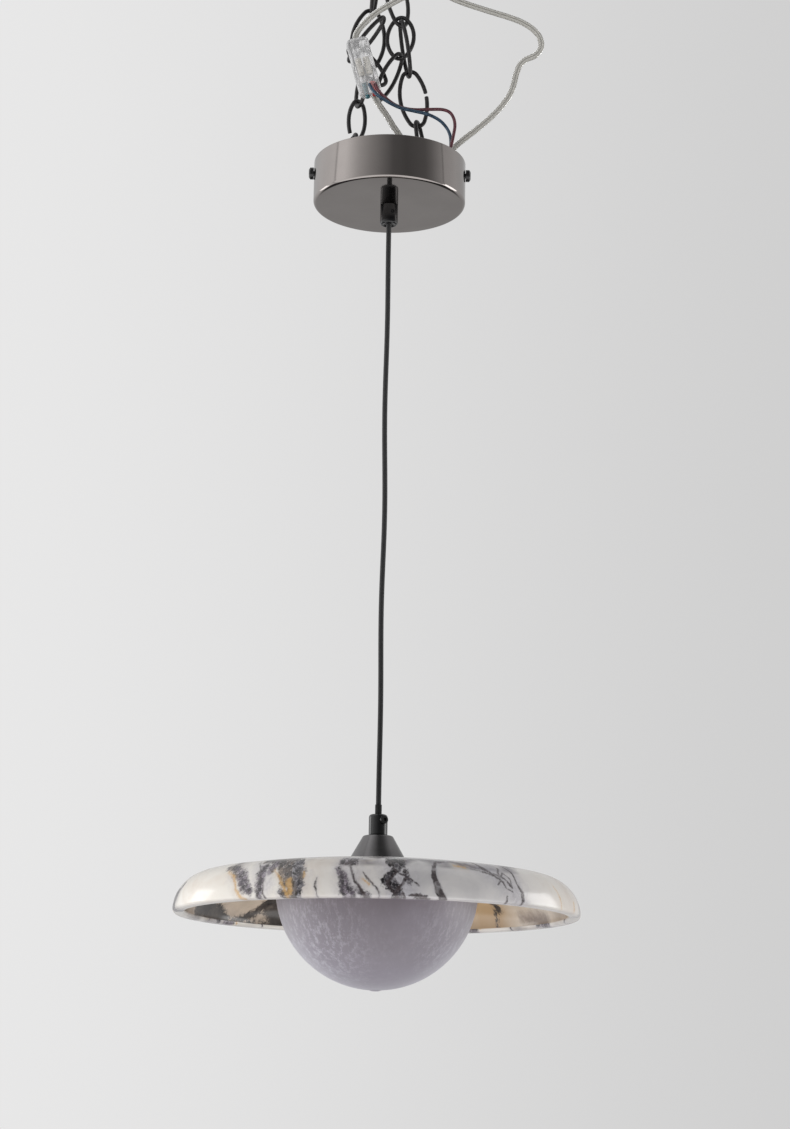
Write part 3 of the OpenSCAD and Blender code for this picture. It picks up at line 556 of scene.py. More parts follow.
def link_piece(name, node, length, width, nose, turn, place, gap_z=None):
    """A link swept along its oval, turned and put at its middle. A cut link ends in
    slightly rounded wire ends; a closed one has a fine groove where its ends butt."""
    line = oval_line(length, width, nose, gap_z)
    run = run_along(line)
    if gap_z is None:
        total = run[-1] + np.linalg.norm(line[0] - line[-1])
        far = np.minimum(run, total - run)
        slim = 1 - 0.10 * np.exp(-((far / 0.00035) ** 2))
    else:
        far = np.minimum(run, run[-1] - run)
        slim = 1 - 0.22 * np.exp(-((far / 0.00030) ** 2))
    wave = 1 + 0.012 * np.sin(run * 900 + length * 4000) + 0.008 * np.sin(run * 2300)
    around = wire_round((WIRE / 2 * slim * wave)[:, None])
    line = line @ turn.T + np.array(place)
    link = tube(name, enamel_material, line, 20, around, turn @ (0, 1, 0), gap_z is None)
    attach(link, "chain")
    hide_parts(node)


def hung_on_hook(s):
    """Middle of a top link's wire where it hangs on the hook, s metres along it."""
    reach = HOOK_R - HOOK_WIRE / 2 - WIRE / 2 - 0.0006
    return hook_dir * (s - HOOK_SIDE) + np.array([0, 0, HOOK_Z - math.sqrt(reach ** 2 - s ** 2)])


def strand(word, top, end, links):
    """Places a run of links, each a (node, length, width, nose, yaw, gap) row, on the
    straight line from top to end; neighbours lie wire on wire."""
    way = end - top
    way = way / np.linalg.norm(way)
    lean = math.degrees(math.asin(-way[0]))
    lean_back = math.degrees(math.atan2(way[1], -way[2]))
    done = 0.0
    for k, (node, length, width, nose, yaw, gap_z) in enumerate(links, 1):
        middle = top + way * (done + (length - WIRE) / 2)
        turn = turn_matrix(lean_back, lean, yaw)
        link_piece(f"{word}_link_{k}", node, length, width, nose, turn, middle, gap_z)
        done += length - 2 * WIRE - SEAT


LONG = 0.051
WIDE = 0.059
RING = 0.039
SHORT = 0.0365
NARROW = 0.0225
BROAD = 0.0244
RIGHT_BAR_YAW = 72
LEFT_BAR_YAW = -74
RIGHT_END_X = 0.029
LEFT_END_X = -0.032
right_top = hung_on_hook(0.004)
right_run = 4 * LONG - 3 * (2 * WIRE + SEAT) - WIRE
right_reach = math.hypot(RIGHT_END_X - right_top[0], right_top[1])
right_drop = math.sqrt(right_run ** 2 - right_reach ** 2)
right_end = np.array([RIGHT_END_X, 0, right_top[2] - right_drop])
strand("right", right_top, right_end, [
    ("right_top_link", LONG, BROAD, 0.0065, 37, None),
    ("right_long_link", LONG, NARROW, 0.006, -80, None),
    ("right_open_link", LONG, BROAD, 0.0065, 0, 0.002),
    ("right_bar_link", LONG, NARROW, 0.0065, RIGHT_BAR_YAW, None),
])


def strip_lift(length, width, nose, yaw):
    """Height of the bracket strip's underside above the lowest wire of a link round it."""
    a, b, r, al = oval_shape(length, width, nose)
    half = 0.005 / abs(math.sin(math.radians(yaw))) + 0.0005
    return a - (r - WIRE / 2) * math.sin(math.acos((half + r - b) / (r - WIRE / 2)))


STRIP_Z = right_end[2] + strip_lift(LONG, NARROW, 0.0065, RIGHT_BAR_YAW)
left_top = hung_on_hook(-0.010)
left_lift = strip_lift(SHORT, NARROW, 0.0075, LEFT_BAR_YAW)
left_end = np.array([LEFT_END_X, 0, STRIP_Z - left_lift])
low_run = WIDE + 3 * SHORT - 3 * (2 * WIRE + SEAT) - WIRE
left_first = float(np.linalg.norm(left_end - left_top)) - low_run + 2 * WIRE + SEAT
strand("left", left_top, left_end, [
    ("left_top_link", left_first, NARROW, 0.006, 84, None),
    ("left_wide_link", WIDE, 0.030, 0.007, 14, None),
    ("left_middle_link", SHORT, NARROW, 0.0075, -66, None),
    ("left_open_link", SHORT, NARROW, 0.007, 230, -0.0149),
    ("left_bar_link", SHORT, NARROW, 0.0075, LEFT_BAR_YAW, None),
])
right_way = (right_end - right_top) / np.linalg.norm(right_end - right_top)
ring_drop = WIRE + SEAT - (RING - WIRE) / 2
ring_middle = right_top + right_way * (LONG - 2 * WIRE - SEAT) + (0, 0, ring_drop)
for k, (node, length, width, nose, turns, way) in enumerate((
    ("loose_ring_link", RING, BROAD + 0.001, 0.0065, (0, 0, -15), (0, 0, 0)),
    ("loose_hanging_link", 0.046, NARROW, 0.006, (0, 26, 65), (-0.0089, 0.0014, -0.0334)),
    ("loose_side_link", 0.045, NARROW, 0.006, (0, -40, 26), (-0.0263, -0.0068, -0.0278)),
    ("loose_cross_link", 0.0475, NARROW, 0.006, (15, 38, 75), (-0.0273, -0.0036, -0.0033)),
), 1):
    link_piece(f"loose_link_{k}", node, length, width, nose, turn_matrix(*turns), ring_middle + way)

# Ceiling fixing: a round pressed plate screwed to the ceiling and an open hook of thick
# wire under it, both enamelled black like the chain.
neck_x = HOOK_BACK_R + HOOK_SIDE
neck_z = (HOOK_R + HOOK_BACK_R) * math.sin(hook_back_a)
back_q = np.linspace(math.pi, math.pi + hook_back_a, 26, endpoint=False)
bend_q = np.linspace(hook_back_a, math.radians(-204), 220)
hook_line = np.vstack([
    [[HOOK_SIDE, 0, neck_z + 0.004], [HOOK_SIDE, 0, neck_z + 0.002]],
    xz_arc(neck_x, neck_z, HOOK_BACK_R, back_q), xz_arc(0, 0, HOOK_R, bend_q),
])
hook_turn = turn_matrix(z=HOOK_TURN)
hook_line = (hook_line - (HOOK_SIDE, 0, 0)) @ hook_turn.T + (0, 0, HOOK_Z)

# The wire's free end is a small dome
tip = np.clip((np.linspace(0, 1, len(hook_line)) - 0.975) / 0.025, 0, 1)[:, None]
hook_round = wire_round(HOOK_WIRE / 2 * np.sqrt(np.clip(1 - tip ** 3 * 0.9, 0.02, 1)))
hook = tube("ceiling_hook_wire", enamel_material, hook_line, 24, hook_round, hook_turn @ (0, 1, 0))
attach(hook, "ceiling")
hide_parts("ceiling_hook")


def cad_finish(material, *nodes):
    """Gives carried-over CAD nodes their material."""
    for node in nodes:
        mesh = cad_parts[node].data
        mesh.materials.clear()
        mesh.materials.append(material)


cad_finish(enamel_material, "ceiling_plate")


# Canopy: a deep-drawn steel cup plated in polished black nickel, held on the bracket by
# two side screws with domed heads.
def lathe(name, material, profile, around=192, low=0.0):
    """A closed surface of revolution about Z from a closed profile of (r, z) points, z
    from low, that runs anticlockwise in the r-z plane, as seen from -Y."""
    p = np.array(profile, float) + (0, low)
    q = np.linspace(0, 2 * np.pi, around, endpoint=False)[:, None]
    ring = np.stack([p[:, 0] * np.cos(q), p[:, 0] * np.sin(q), p[:, 1] + 0 * q], axis=2)
    faces = grid_faces(around, len(p), close_rows=True)
    return mesh_piece(name, material, ring.reshape(-1, 3), faces)


def arc_2d(x, z, r, start, stop, n):
    """Points on an arc in the r-z plane, angles in degrees."""
    q = np.radians(np.linspace(start, stop, n))
    return list(zip(x + r * np.cos(q), z + r * np.sin(q)))


nickel_material = mottled(
    "black_nickel", 14, 5, (0.245, 0.224, 0.215), (0.285, 0.262, 0.252), rough=(0.05, 0.11),
    bump=0.03, fine=700, Metallic=1.0, Roughness=0.07,
)

CANOPY_R = 0.060
CANOPY_H = 0.035
WALL = 0.0012
cup_profile = (
    arc_2d(CANOPY_R - 0.0028, 0.0028, 0.0028, -90, 0, 17)
    + arc_2d(CANOPY_R - WALL / 2, CANOPY_H - WALL / 2, WALL / 2, 0, 180, 9)
    + arc_2d(CANOPY_R - 0.0028, 0.0028, 0.0016, 0, -90, 9)
    + [(0.03, WALL), (0.0053, WALL), (0.0052, WALL / 2)]
    + [(r, 0) for r in (0.0053, 0.0062, 0.012, 0.03, 0.05)]
)
cup = lathe("canopy_cup_shell", nickel_material, cup_profile, low=CANOPY_Z)
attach(cup, "chain")
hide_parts("canopy_cup")

zinc_material = mottled("zinc_plate", 240, 4, (0.5, 0.5, 0.49), (0.68, 0.68, 0.66),
                        rough=(0.28, 0.5), Metallic=1.0, Roughness=0.38)
cad_finish(zinc_material, "canopy_bracket", "canopy_grip_nut", "threaded_tube", "steel_washer",
           "shade_nut", "gallery_nut", "holder_screws", "dome_springs", "bulb_pins")

gloss_material = mottled(
    "black_gloss", 90, 4, (0.005, 0.005, 0.006), (0.011, 0.011, 0.012), rough=(0.16, 0.3),
    Roughness=0.22, Specular_IOR_Level=0.35, Coat_Weight=0.15, Coat_Roughness=0.1,
)
cad_finish(gloss_material, "canopy_screw_left", "canopy_screw_right", "canopy_grip_screw",
           "lamp_grip_knob")
rubber_material = mottled("black_rubber", 400, 4, (0.008, 0.008, 0.008), (0.02, 0.02, 0.02),
                          bump=0.2, spread=(0.3, 0.7), Roughness=0.8)
cad_finish(rubber_material, "rubber_washer", "cord_sleeve", "canopy_cord_tail")

# Cord grips: turned cylinders in gloss black, one screwed up into the canopy with a
# chamfered mouth, one on the cone with a rounded top.
GRIP_R = 0.007
GRIP_H = 0.016
STUD_R = 0.005
grip_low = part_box("canopy_grip")[0].z
stud_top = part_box("canopy_grip")[1].z - grip_low
grip_profile = [
    (0.0042, 0), (GRIP_R - 0.0012, 0), (GRIP_R - 0.0009, 0.0001), (GRIP_R - 0.0001, 0.0009),
    (GRIP_R, 0.0012), (GRIP_R, 0.003), (GRIP_R, GRIP_H - 0.0004), (GRIP_R - 0.0004, GRIP_H),
    (STUD_R, GRIP_H), (STUD_R, GRIP_H + 0.0002), (STUD_R, stud_top - 0.0005),
    (STUD_R - 0.0005, stud_top), (0.0023, stud_top), (0.0023, 0.004), (0.0023, 0.0022),
]
canopy_grip = lathe("canopy_grip_body", gloss_material, grip_profile, 96, grip_low)
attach(canopy_grip, "chain")
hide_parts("canopy_grip")

lamp_grip_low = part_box("lamp_grip")[0].z
top = LAMP_GRIP_TOP - lamp_grip_low
round_top = 0.0022
lamp_grip_profile = (
    [(0.0051, 0), (GRIP_R - 0.0003, 0), (GRIP_R, 0.0003), (GRIP_R, 0.002)]
    + arc_2d(GRIP_R - round_top, top - round_top, round_top, 0, 90, 10)
    + [(0.0028, top), (0.0021, top - 0.0004), (0.0021, top - 0.003), (0.0021, 0.0094),
       (0.0051, 0.0093)]
)
lamp_grip = lathe("lamp_grip_body", gloss_material, lamp_grip_profile, 96, lamp_grip_low)
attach(lamp_grip, "lamp")
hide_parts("lamp_grip")

# Cone cap: spun steel in black nickel with a rounded upper edge, sitting on the stone.
cone_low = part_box("cone_cap")[0].z
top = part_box("cone_cap")[1].z - cone_low
CONE_R = 0.022
CONE_TOP_R = 0.0115
edge = 0.0017
cone_profile = (
    [(CONE_R - 0.0015, 0), (CONE_R - 0.0002, 0), (CONE_R, 0.0002), (CONE_R, 0.0008),
     (CONE_R - 0.0004, 0.0014)]
    + arc_2d(CONE_TOP_R - edge + 0.0002, top - edge, edge, 25, 90, 9)
    + [(0.0062, top), (0.0052, top - 0.0002), (0.0052, top - 0.0015),
       (CONE_TOP_R - 0.0035, top - 0.003), (CONE_R - 0.0024, 0.0012)]
)
cone_material = mottled("dark_nickel", 30, 5, (0.10, 0.097, 0.099), (0.155, 0.15, 0.152),
                        rough=(0.13, 0.22), Metallic=1.0, Roughness=0.18)
cone = lathe("cone_cap_shell", cone_material, cone_profile, 128, cone_low)
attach(cone, "lamp")
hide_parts("cone_cap")

# Shade: one shallow bowl turned from marble and polished, cream with purple-grey breccia,
# charcoal and rust veins. The veins on its front follow the photographed stone.
SHADE_R = 0.150
SHADE_H = 0.040
STONE_WALL = 0.009
SHOULDER = 0.028
CROWN = 0.760
LIP = 0.0025
STONE_SIDES = 360


def stone_section(off, n_crown, n_shoulder):
    """Points from the crown's middle out and down to the rim plane, off metres inside
    the outer skin: a shallow crown arc and a shoulder arc."""
    centre = SHADE_R - SHOULDER
    drop = SHADE_H - CROWN
    low = drop + math.sqrt((CROWN - SHOULDER) ** 2 - centre ** 2)
    touch = math.atan2(low - drop, centre)
    q = np.linspace(math.pi / 2 - 0.0145, touch, n_crown)
    s = np.linspace(touch, 0, n_shoulder)[1:]
    arcs = xz_arc(0, drop, CROWN - off, q), xz_arc(centre, low, SHOULDER - off, s)
    return np.vstack(arcs)[:, ::2]


hole_r = 0.0053
outer = stone_section(0, 60, 60)
outer = outer[(outer[:, 0] > hole_r + 0.0004) & (outer[:, 1] > LIP + 0.0002)]
inner = stone_section(STONE_WALL, 60, 50)[::-1]
inner = inner[(inner[:, 0] > hole_r + 0.0004)
              & ((inner[:, 1] > LIP + 0.0002) | (inner[:, 0] < 0.14))]
lip_out = arc_2d(SHADE_R - LIP, LIP, LIP, 0, -90, 10)
lip_in = arc_2d(SHADE_R - STONE_WALL + LIP, LIP, LIP, -90, -180, 10)
section = np.vstack([
    [(hole_r, SHADE_H - STONE_WALL + 0.0003), (hole_r, SHADE_H - 0.0004)],
    outer, lip_out, lip_in, inner,
])
n = Finish("marble", Roughness=0.2, IOR=1.48, Coat_Weight=0.12, Coat_Roughness=0.14)
stone = lathe("marble_shade_stone", n.material, section[::-1], STONE_SIDES, RIM_Z)
is_inner = np.zeros(len(section))
is_inner[:len(inner)] = 1.0
inside = stone.data.attributes.new("inside", "FLOAT", "POINT")
inside.data.foreach_set("value", np.tile(is_inner, STONE_SIDES).astype(np.float32))

coords = n.add("TexCoord").outputs["Object"]
x, y, z = n.parts(coords)
chart_x = n.times(n.math("ARCTAN2", x, n.times(y, -1.0)), SHADE_R * 1000)
height_mm = n.times(n.math("SUBTRACT", z, RIM_Z), 1000.0)
radius = n.math("SQRT", n.math("ADD", n.times(x, x), n.times(y, y)))
chart = n.add("CombineXYZ", X=chart_x, Y=height_mm).outputs[0]


def vector_node(nodes, operation, a, b=None):
    """One vector operation; in a SCALE, b is a number."""
    node = nodes.add("VectorMath")
    node.operation = operation
    nodes.put(a, node.inputs[0])
    if b is not None:
        nodes.put(b, node.inputs["Scale" if operation == "SCALE" else 1])
    return node.outputs["Value" if operation in ("DOT_PRODUCT", "LENGTH") else "Vector"]


def shaken(vector, scale, amount, detail=3):
    """The vector with noise of the given scale and amount added, so that edges wander."""
    shake = n.noise(scale, detail, vector=vector).node.outputs["Color"]
    centred = vector_node(n, "SUBTRACT", shake, (0.5, 0.5, 0.5))
    return vector_node(n, "ADD", vector, vector_node(n, "SCALE", centred, amount))


wander = shaken(shaken(chart, 0.09, 7.0), 0.45, 3.0)
crisp = shaken(shaken(chart, 0.16, 3.0), 0.8, 1.4)

vein_group = bpy.data.node_groups.new("stone_vein", "ShaderNodeTree")
for socket, kind, way in (
    ("Point", "Vector", "INPUT"), ("From", "Vector", "INPUT"), ("To", "Vector", "INPUT"),
    ("Width From", "Float", "INPUT"), ("Width To", "Float", "INPUT"),
    ("Depth", "Float", "OUTPUT"),
):
    vein_group.interface.new_socket(name=socket, in_out=way, socket_type="NodeSocket" + kind)
point, start, end, width, end_width = vein_group.nodes.new("NodeGroupInput").outputs[:5]
g = Nodes(vein_group)
to_point = vector_node(g, "SUBTRACT", point, start)
to_end = vector_node(g, "SUBTRACT", end, start)
share = g.math("DIVIDE", vector_node(g, "DOT_PRODUCT", to_point, to_end),
               vector_node(g, "DOT_PRODUCT", to_end, to_end))
share = g.math("MINIMUM", g.math("MAXIMUM", share, 0.0), 1.0)
nearest = vector_node(g, "SCALE", to_end, share)
off_line = vector_node(g, "LENGTH", vector_node(g, "SUBTRACT", to_point, nearest))
half_width = g.math("ADD", width, g.times(g.math("SUBTRACT", end_width, width), share))
g.put(g.math("SUBTRACT", half_width, off_line), vein_group.nodes.new("NodeGroupOutput").inputs[0])


def veins(vector, lines):
    """Depth in millimetres inside the widest of some polylines of (x, height, half width)
    points, negative outside them."""
    whole = None
    for line in lines:
        for (x0, y0, w0), (x1, y1, w1) in zip(line[:-1], line[1:]):
            node = n.add("Group")
            node.node_tree = vein_group
            for value, socket in zip((vector, (x0, y0, 0), (x1, y1, 0), w0, w1), node.inputs):
                n.put(value, socket)
            depth = node.outputs[0]
            whole = depth if whole is None else n.math("MAXIMUM", whole, depth)
    return whole


def torn(depth, blur, rough, noise):
    """Share of a patch from the depth inside it: its edge is torn by rough millimetres of
    the noise and fades over blur millimetres."""
    ragged = n.times(n.math("SUBTRACT", noise, 0.5), rough)
    return n.span(n.math("ADD", depth, ragged), -blur / 2, blur / 2)


broad_noise = n.noise(0.16, 6, 0.6, vector=chart, distort=1.0)
grain_noise = n.noise(0.42, 8, 0.72, vector=chart, distort=0.8)
fleck_noise = n.noise(0.5, 8, 0.8, vector=chart, distort=1.5)

# Ground colour: cream at the left, cooler white in the middle, warm again at the right
cloud = n.noise(16, 5, 0.6, distort=0.6)
warm_side = n.math("MAXIMUM", n.span(chart_x, -70, 20, 1, 0),
                   n.span(chart_x, 90, 150, 0.0, 0.75))
ground_cool = n.ramp(cloud, [
    (0.3, (0.58, 0.565, 0.575)), (0.5, (0.73, 0.705, 0.70)), (0.72, (0.84, 0.815, 0.80)),
])
ground_warm = n.ramp(cloud, [
    (0.3, (0.70, 0.60, 0.51)), (0.5, (0.81, 0.765, 0.70)), (0.7, (0.87, 0.845, 0.80)),
])
ground = n.mix(warm_side, ground_cool, ground_warm)

# Net of fine cracks over the sides, back and top, kept off the photographed front
front = n.times(n.span(height_mm, 26, 34, 1, 0), n.span(radius, 0.139, 0.1415),
                n.span(n.math("ABSOLUTE", chart_x), 175, 215, 1, 0))
shell = n.add("TexVoronoi", Vector=shaken(coords, 14, 0.09, 4), Scale=11)
shell.feature = "DISTANCE_TO_EDGE"
crack = n.span(shell.outputs["Distance"], 0.0, 0.11, 1, 0)
net = n.times(crack, n.span(n.noise(7.5, 4), 0.42, 0.58))
crack_colour = n.ramp(n.noise(60, 5, 0.65), [
    (0.35, (0.035, 0.03, 0.035)), (0.55, (0.14, 0.12, 0.14)), (0.7, (0.33, 0.24, 0.14)),
])
colour = n.mix(n.times(net, n.math("SUBTRACT", 1.0, front)), ground, crack_colour)

# Depths inside the dark veins and the breccia zones: the front's follow the photograph,
# those of the sides and back are invented
dark_depth = veins(crisp, [
    [(-120, 25, 0.4), (-120, 23, 0.7), (-117, 22, 0.7)], [(-89, 7, 0.3), (-85, 1, 0.5)],
    [(-97, 27, 0.4), (-89, 21, 0.5), (-83, 11, 0.5), (-81, 3, 0.6), (-80, 0, 0.6)],
    [(-42, 13, 0.4), (-42, 7, 0.8), (-40, 0, 0.4)],
    [(-18, 25, 0.8), (-19, 22, 0.9), (-14, 11, 0.9), (-7, 1, 1.4)],
    [(-22, 24, 1.4), (-12, 29, 0.8)],
    [(-9, 18, 0.4), (-5, 12, 0.7), (0, 7, 0.7), (2, 4, 0.6), (2, 0, 0.5)],
    [(9, 27, 0.7), (16, 26, 0.5), (23, 27, 0.6)],
    [(10, 26, 0.6), (14, 18, 0.8), (7, 10, 1.4), (12, 4, 1.2), (15, 0, 1.0)],
    [(14, 18, 0.6), (21, 15, 0.8), (20, 12, 1.1), (14, 5, 1.2)],
    [(21, 15, 0.6), (28, 11, 0.5), (29, 9, 0.6)], [(20, 21, 0.5), (21, 16, 0.7)],
    [(18, 4, 0.9), (20, 0, 1.1)], [(23, 2, 0.9), (30, 2, 1.3), (37, 0, 0.7)],
    [(54, 28, 0.5), (46, 27, 0.9), (42, 22, 1.4), (41, 17, 2.0), (42, 11, 2.3), (44, 4, 2.6),
     (48, -1, 2.7)],
    [(80, 29, 1.0), (84, 24, 1.6), (88, 21, 1.0)],
    [(72, 23, 0.3), (79, 22, 0.5), (88, 20, 0.9), (94, 20, 1.0), (99, 17, 0.8), (103, 12, 0.9)],
    [(91, 19, 0.8), (96, 15, 0.9), (97, 11, 0.6), (103, 9, 0.6)],
    [(99, 25, 0.5), (95, 21, 0.8), (94, 16, 0.7), (91, 13, 0.5)],
    [(96, 19, 0.6), (100, 22, 0.5), (104, 18, 0.5), (103, 13, 0.6)],
    [(108, 27, 0.8), (110, 22, 1.1), (109, 15, 0.8), (112, 9, 1.2), (112, 3, 1.4), (111, 0, 1.2)],
    [(97, 5, 0.5), (96, 0, 1.0)], [(-208, 12, 1.6), (-222, 17, 0.8), (-240, 26, 0.5)],
    [(-214, 4, 1.8), (-232, 7, 0.7), (-248, 3, 0.4)],
    [(-300, 24, 0.6), (-306, 12, 0.9), (-302, 0, 0.7)],
    [(-370, 27, 0.5), (-362, 14, 1.1), (-368, 1, 0.8)],
    [(346, 26, 0.7), (352, 12, 1.2), (347, 0, 0.9)],
    [(420, 25, 0.6), (414, 12, 1.0), (422, 0, 0.7)],
    [(240, 24, 0.5), (252, 14, 1.2), (250, 4, 0.9), (262, 0, 0.6)],
])
purple_depth = veins(wander, [
    [(-87, 23, 3), (-86, 16, 4), (-85, 8, 3), (-84, 1, 2.5)], [(-80, 25, 3), (-79, 19, 3)],
    [(-103, 15, 4), (-98, 9, 4), (-93, 6, 3)], [(-120, 24, 2), (-112, 21, 3), (-104, 16, 4)],
    [(-330, 26, 3), (-322, 14, 6), (-330, 2, 7)], [(-404, 27, 3), (-414, 15, 5), (-406, 3, 7)],
    [(302, 26, 3), (309, 13, 6), (300, 1, 7)], [(384, 27, 3), (393, 15, 6), (386, 1, 5)],
    [(432, 29, 2), (440, 22, 4), (452, 10, 5), (456, 0, 7)], [(-24, 27, 3.5), (-17, 26, 3.5)],
    [(-26, 20, 2.5), (-22, 10, 4), (-18, 1, 5)], [(-13, 6, 2), (-6, 1, 2.5)],
])
brown_depth = veins(wander, [
    [(-92, 28, 2), (-80, 29, 3), (-66, 29, 4)], [(-74, 27, 6), (-67, 20, 6), (-64, 12, 5)],
    [(-128, 25, 1.5), (-116, 23, 2.5)],
])
charcoal_depth = veins(wander, [
    [(-60, 25, 4), (-56, 18, 5), (-56, 9, 6), (-58, 1, 6)], [(-66, 4, 3), (-60, 1, 4)],
    [(10, 26, 4), (18, 26, 4)], [(17, 24, 3), (10, 17, 2.5), (7, 12, 4), (14, 6, 3.5), (15, 0, 4)],
    [(21, 20, 2), (23, 12, 2.5)], [(26, 2, 1.5), (34, 1, 1.5)],
    [(-189, 18, 1.2), (-198, 13, 4), (-207, 6, 8), (-208, 1, 9)],
    [(-318, 22, 3), (-311, 10, 4), (-316, 2, 3)],
    [(-458, 28, 2), (-452, 20, 4), (-444, 8, 5), (-446, 0, 7)], [(318, 18, 3), (312, 6, 5)],
    [(398, 12, 4), (404, 3, 5)],
])
haze_depth = veins(wander, [
    [(-112, 20, 5), (-98, 8, 5)], [(-90, 24, 7), (-80, 10, 7)],
    [(-68, 24, 8), (-58, 12, 9), (-60, 3, 8)], [(-22, 24, 7), (-18, 12, 9), (-14, 1, 9)],
    [(10, 24, 8), (17, 12, 10), (18, 2, 10)], [(84, 25, 5), (98, 17, 8), (105, 9, 9)],
    [(110, 22, 5), (108, 4, 8)], [(-326, 22, 9), (-320, 6, 12)], [(-410, 22, 8), (-408, 6, 12)],
    [(304, 20, 9), (306, 5, 12)], [(388, 22, 8), (394, 6, 12)], [(444, 20, 8), (454, 8, 9)],
    [(-450, 18, 8), (-446, 6, 9)],
])

# Soft lilac-grey haze round the veins
haze_tone = n.ramp(grain_noise, [
    (0.3, (0.24, 0.22, 0.26)), (0.5, (0.44, 0.42, 0.48)), (0.68, (0.68, 0.67, 0.72)),
])
haze = n.math("MAXIMUM", torn(haze_depth, 12, 16, broad_noise), torn(dark_depth, 5, 3, grain_noise))
colour = n.mix(n.times(haze, 0.5), colour, haze_tone)

# Breccia: brown, purple and charcoal crystals with pale seams and torn edges
shattered = shaken(crisp, 0.9, 2.2)
crystals = n.add("TexVoronoi", Vector=shattered, Scale=0.34)
seams = n.add("TexVoronoi", Vector=shattered, Scale=0.34)
seams.feature = "DISTANCE_TO_EDGE"
mixed = n.math("ADD", n.times(n.parts(crystals.outputs["Color"])["X"], 0.5),
               n.times(fleck_noise, 0.8))
seam = n.times(n.span(seams.outputs["Distance"], 0.01, 0.06, 1, 0),
               n.span(grain_noise, 0.45, 0.6, 0.0, 0.8))
for depth, blur, rough, most, stops in (
    (brown_depth, 1.6, 8, 0.97, [
        (0.5, (0.022, 0.016, 0.014)), (0.68, (0.075, 0.055, 0.047)),
        (0.82, (0.16, 0.125, 0.105)), (0.95, (0.40, 0.32, 0.26)),
    ]),
    (purple_depth, 2.2, 9, 0.95, [
        (0.5, (0.02, 0.015, 0.021)), (0.68, (0.062, 0.048, 0.066)),
        (0.82, (0.16, 0.13, 0.165)), (0.95, (0.45, 0.41, 0.46)),
    ]),
    (charcoal_depth, 1.2, 8, 1.0, [
        (0.48, (0.011, 0.01, 0.012)), (0.68, (0.036, 0.032, 0.038)),
        (0.84, (0.12, 0.11, 0.125)), (0.97, (0.42, 0.41, 0.43)),
    ]),
):
    seamed = n.mix(seam, n.ramp(mixed, stops), (0.60, 0.56, 0.57))
    colour = n.mix(n.times(torn(depth, blur, rough, grain_noise), most), colour, seamed)

# Rust and gold along the cracks
gold_depth = veins(crisp, [
    [(-122, 21, 0.4), (-112, 17, 1.0), (-108, 12, 0.8), (-106, 7, 0.8), (-101, 2, 1.2),
     (-97, 0, 1.0)],
    [(-76, 20, 0.5), (-70, 14, 0.7), (-64, 6, 1.3), (-62, 1, 1.4)],
    [(-62, 12, 1.8), (-60, 4, 1.8)], [(-52, 18, 0.6), (-51, 15, 0.8)],
    [(-9, 13, 0.7), (-5, 9, 0.8)], [(60, 25, 0.8), (68, 24, 0.7)],
    [(156, 17, 0.3), (159, 10, 0.5), (160, 1, 0.3)], [(188, 8, 1.2), (186, 3, 1.0)],
    [(-338, 24, 0.6), (-334, 12, 1.1), (-340, 2, 0.9)], [(-396, 20, 0.7), (-400, 8, 1.2)],
    [(316, 22, 0.7), (320, 10, 1.0)], [(378, 18, 0.8), (380, 4, 1.2)],
])
gold_tone = n.ramp(fleck_noise, [
    (0.3, (0.40, 0.17, 0.03)), (0.5, (0.62, 0.36, 0.11)), (0.7, (0.74, 0.55, 0.3)),
])
gold_wash = n.times(torn(gold_depth, 7, 5, broad_noise), 0.28)
colour = n.mix(gold_wash, colour, (0.72, 0.53, 0.3))
colour = n.mix(n.times(torn(gold_depth, 1.6, 4.5, grain_noise), 0.75), colour, gold_tone)

# Dark fine veins, broken here and there
dark_tone = n.ramp(fleck_noise, [
    (0.36, (0.018, 0.014, 0.016)), (0.5, (0.05, 0.038, 0.04)), (0.64, (0.14, 0.11, 0.115)),
])
faint = n.span(broad_noise, 0.36, 0.52, 0.55, 0.95)
colour = n.mix(n.times(torn(dark_depth, 0.9, 2.6, grain_noise), faint), colour, dark_tone)

# Inside of the bowl: warmer, and painted darker as shade inside it, with charcoal at the left and
# ochre at the right
inside_tone_in_shade = n.ramp(n.noise(22, 5, 0.6), [
    (0.3, (0.34, 0.27, 0.21)), (0.52, (0.55, 0.455, 0.365)), (0.72, (0.68, 0.60, 0.51)),
])
ochre = n.span(n.math("ABSOLUTE", n.math("SUBTRACT", chart_x, 368.0)), 10, 34, 1, 0)
inside_colour = n.mix(n.times(ochre, 0.8), inside_tone_in_shade, (0.40, 0.255, 0.12))
inner_dark = torn(veins(wander, [
    [(-328, 2, 4), (-314, 6, 7), (-294, 8, 8), (-276, 6, 6)],
    [(-326, 2, 2), (-350, 6, 3), (-360, 12, 4), (-366, 18, 5)],
    [(-366, 22, 8), (-378, 14, 11), (-392, 4, 12)], [(-344, 2, 2), (-362, 2, 2), (-376, 1, 3)],
    [(-365, 4, 1), (-362, 3, 1)], [(-374, 9, 1), (-376, 9, 1)], [(-381, 2, 2), (-382, 4, 2)],
    [(352, 24, 4), (355, 18, 4), (360, 12, 1.5)], [(360, 12, 0.8), (362, 6, 1.0), (361, 0, 1.8)],
]), 2.5, 14, grain_noise)
inner_dark_tone = n.ramp(n.noise(80, 5), [
    (0.3, (0.02, 0.016, 0.015)), (0.6, (0.075, 0.062, 0.054)), (0.8, (0.2, 0.165, 0.135)),
])
inside_colour = n.mix(inner_dark, inside_colour, inner_dark_tone)
smudge_in = torn(veins(wander, [
    [(332, 9, 2), (318, 7, 5), (306, 5, 7), (298, 3, 6)],
]), 9, 8, broad_noise)
inside_colour = n.mix(n.times(smudge_in, 0.75), inside_colour, (0.115, 0.07, 0.052))
net_in = n.times(net, n.span(height_mm, 22, 27, 0.0, 0.7))
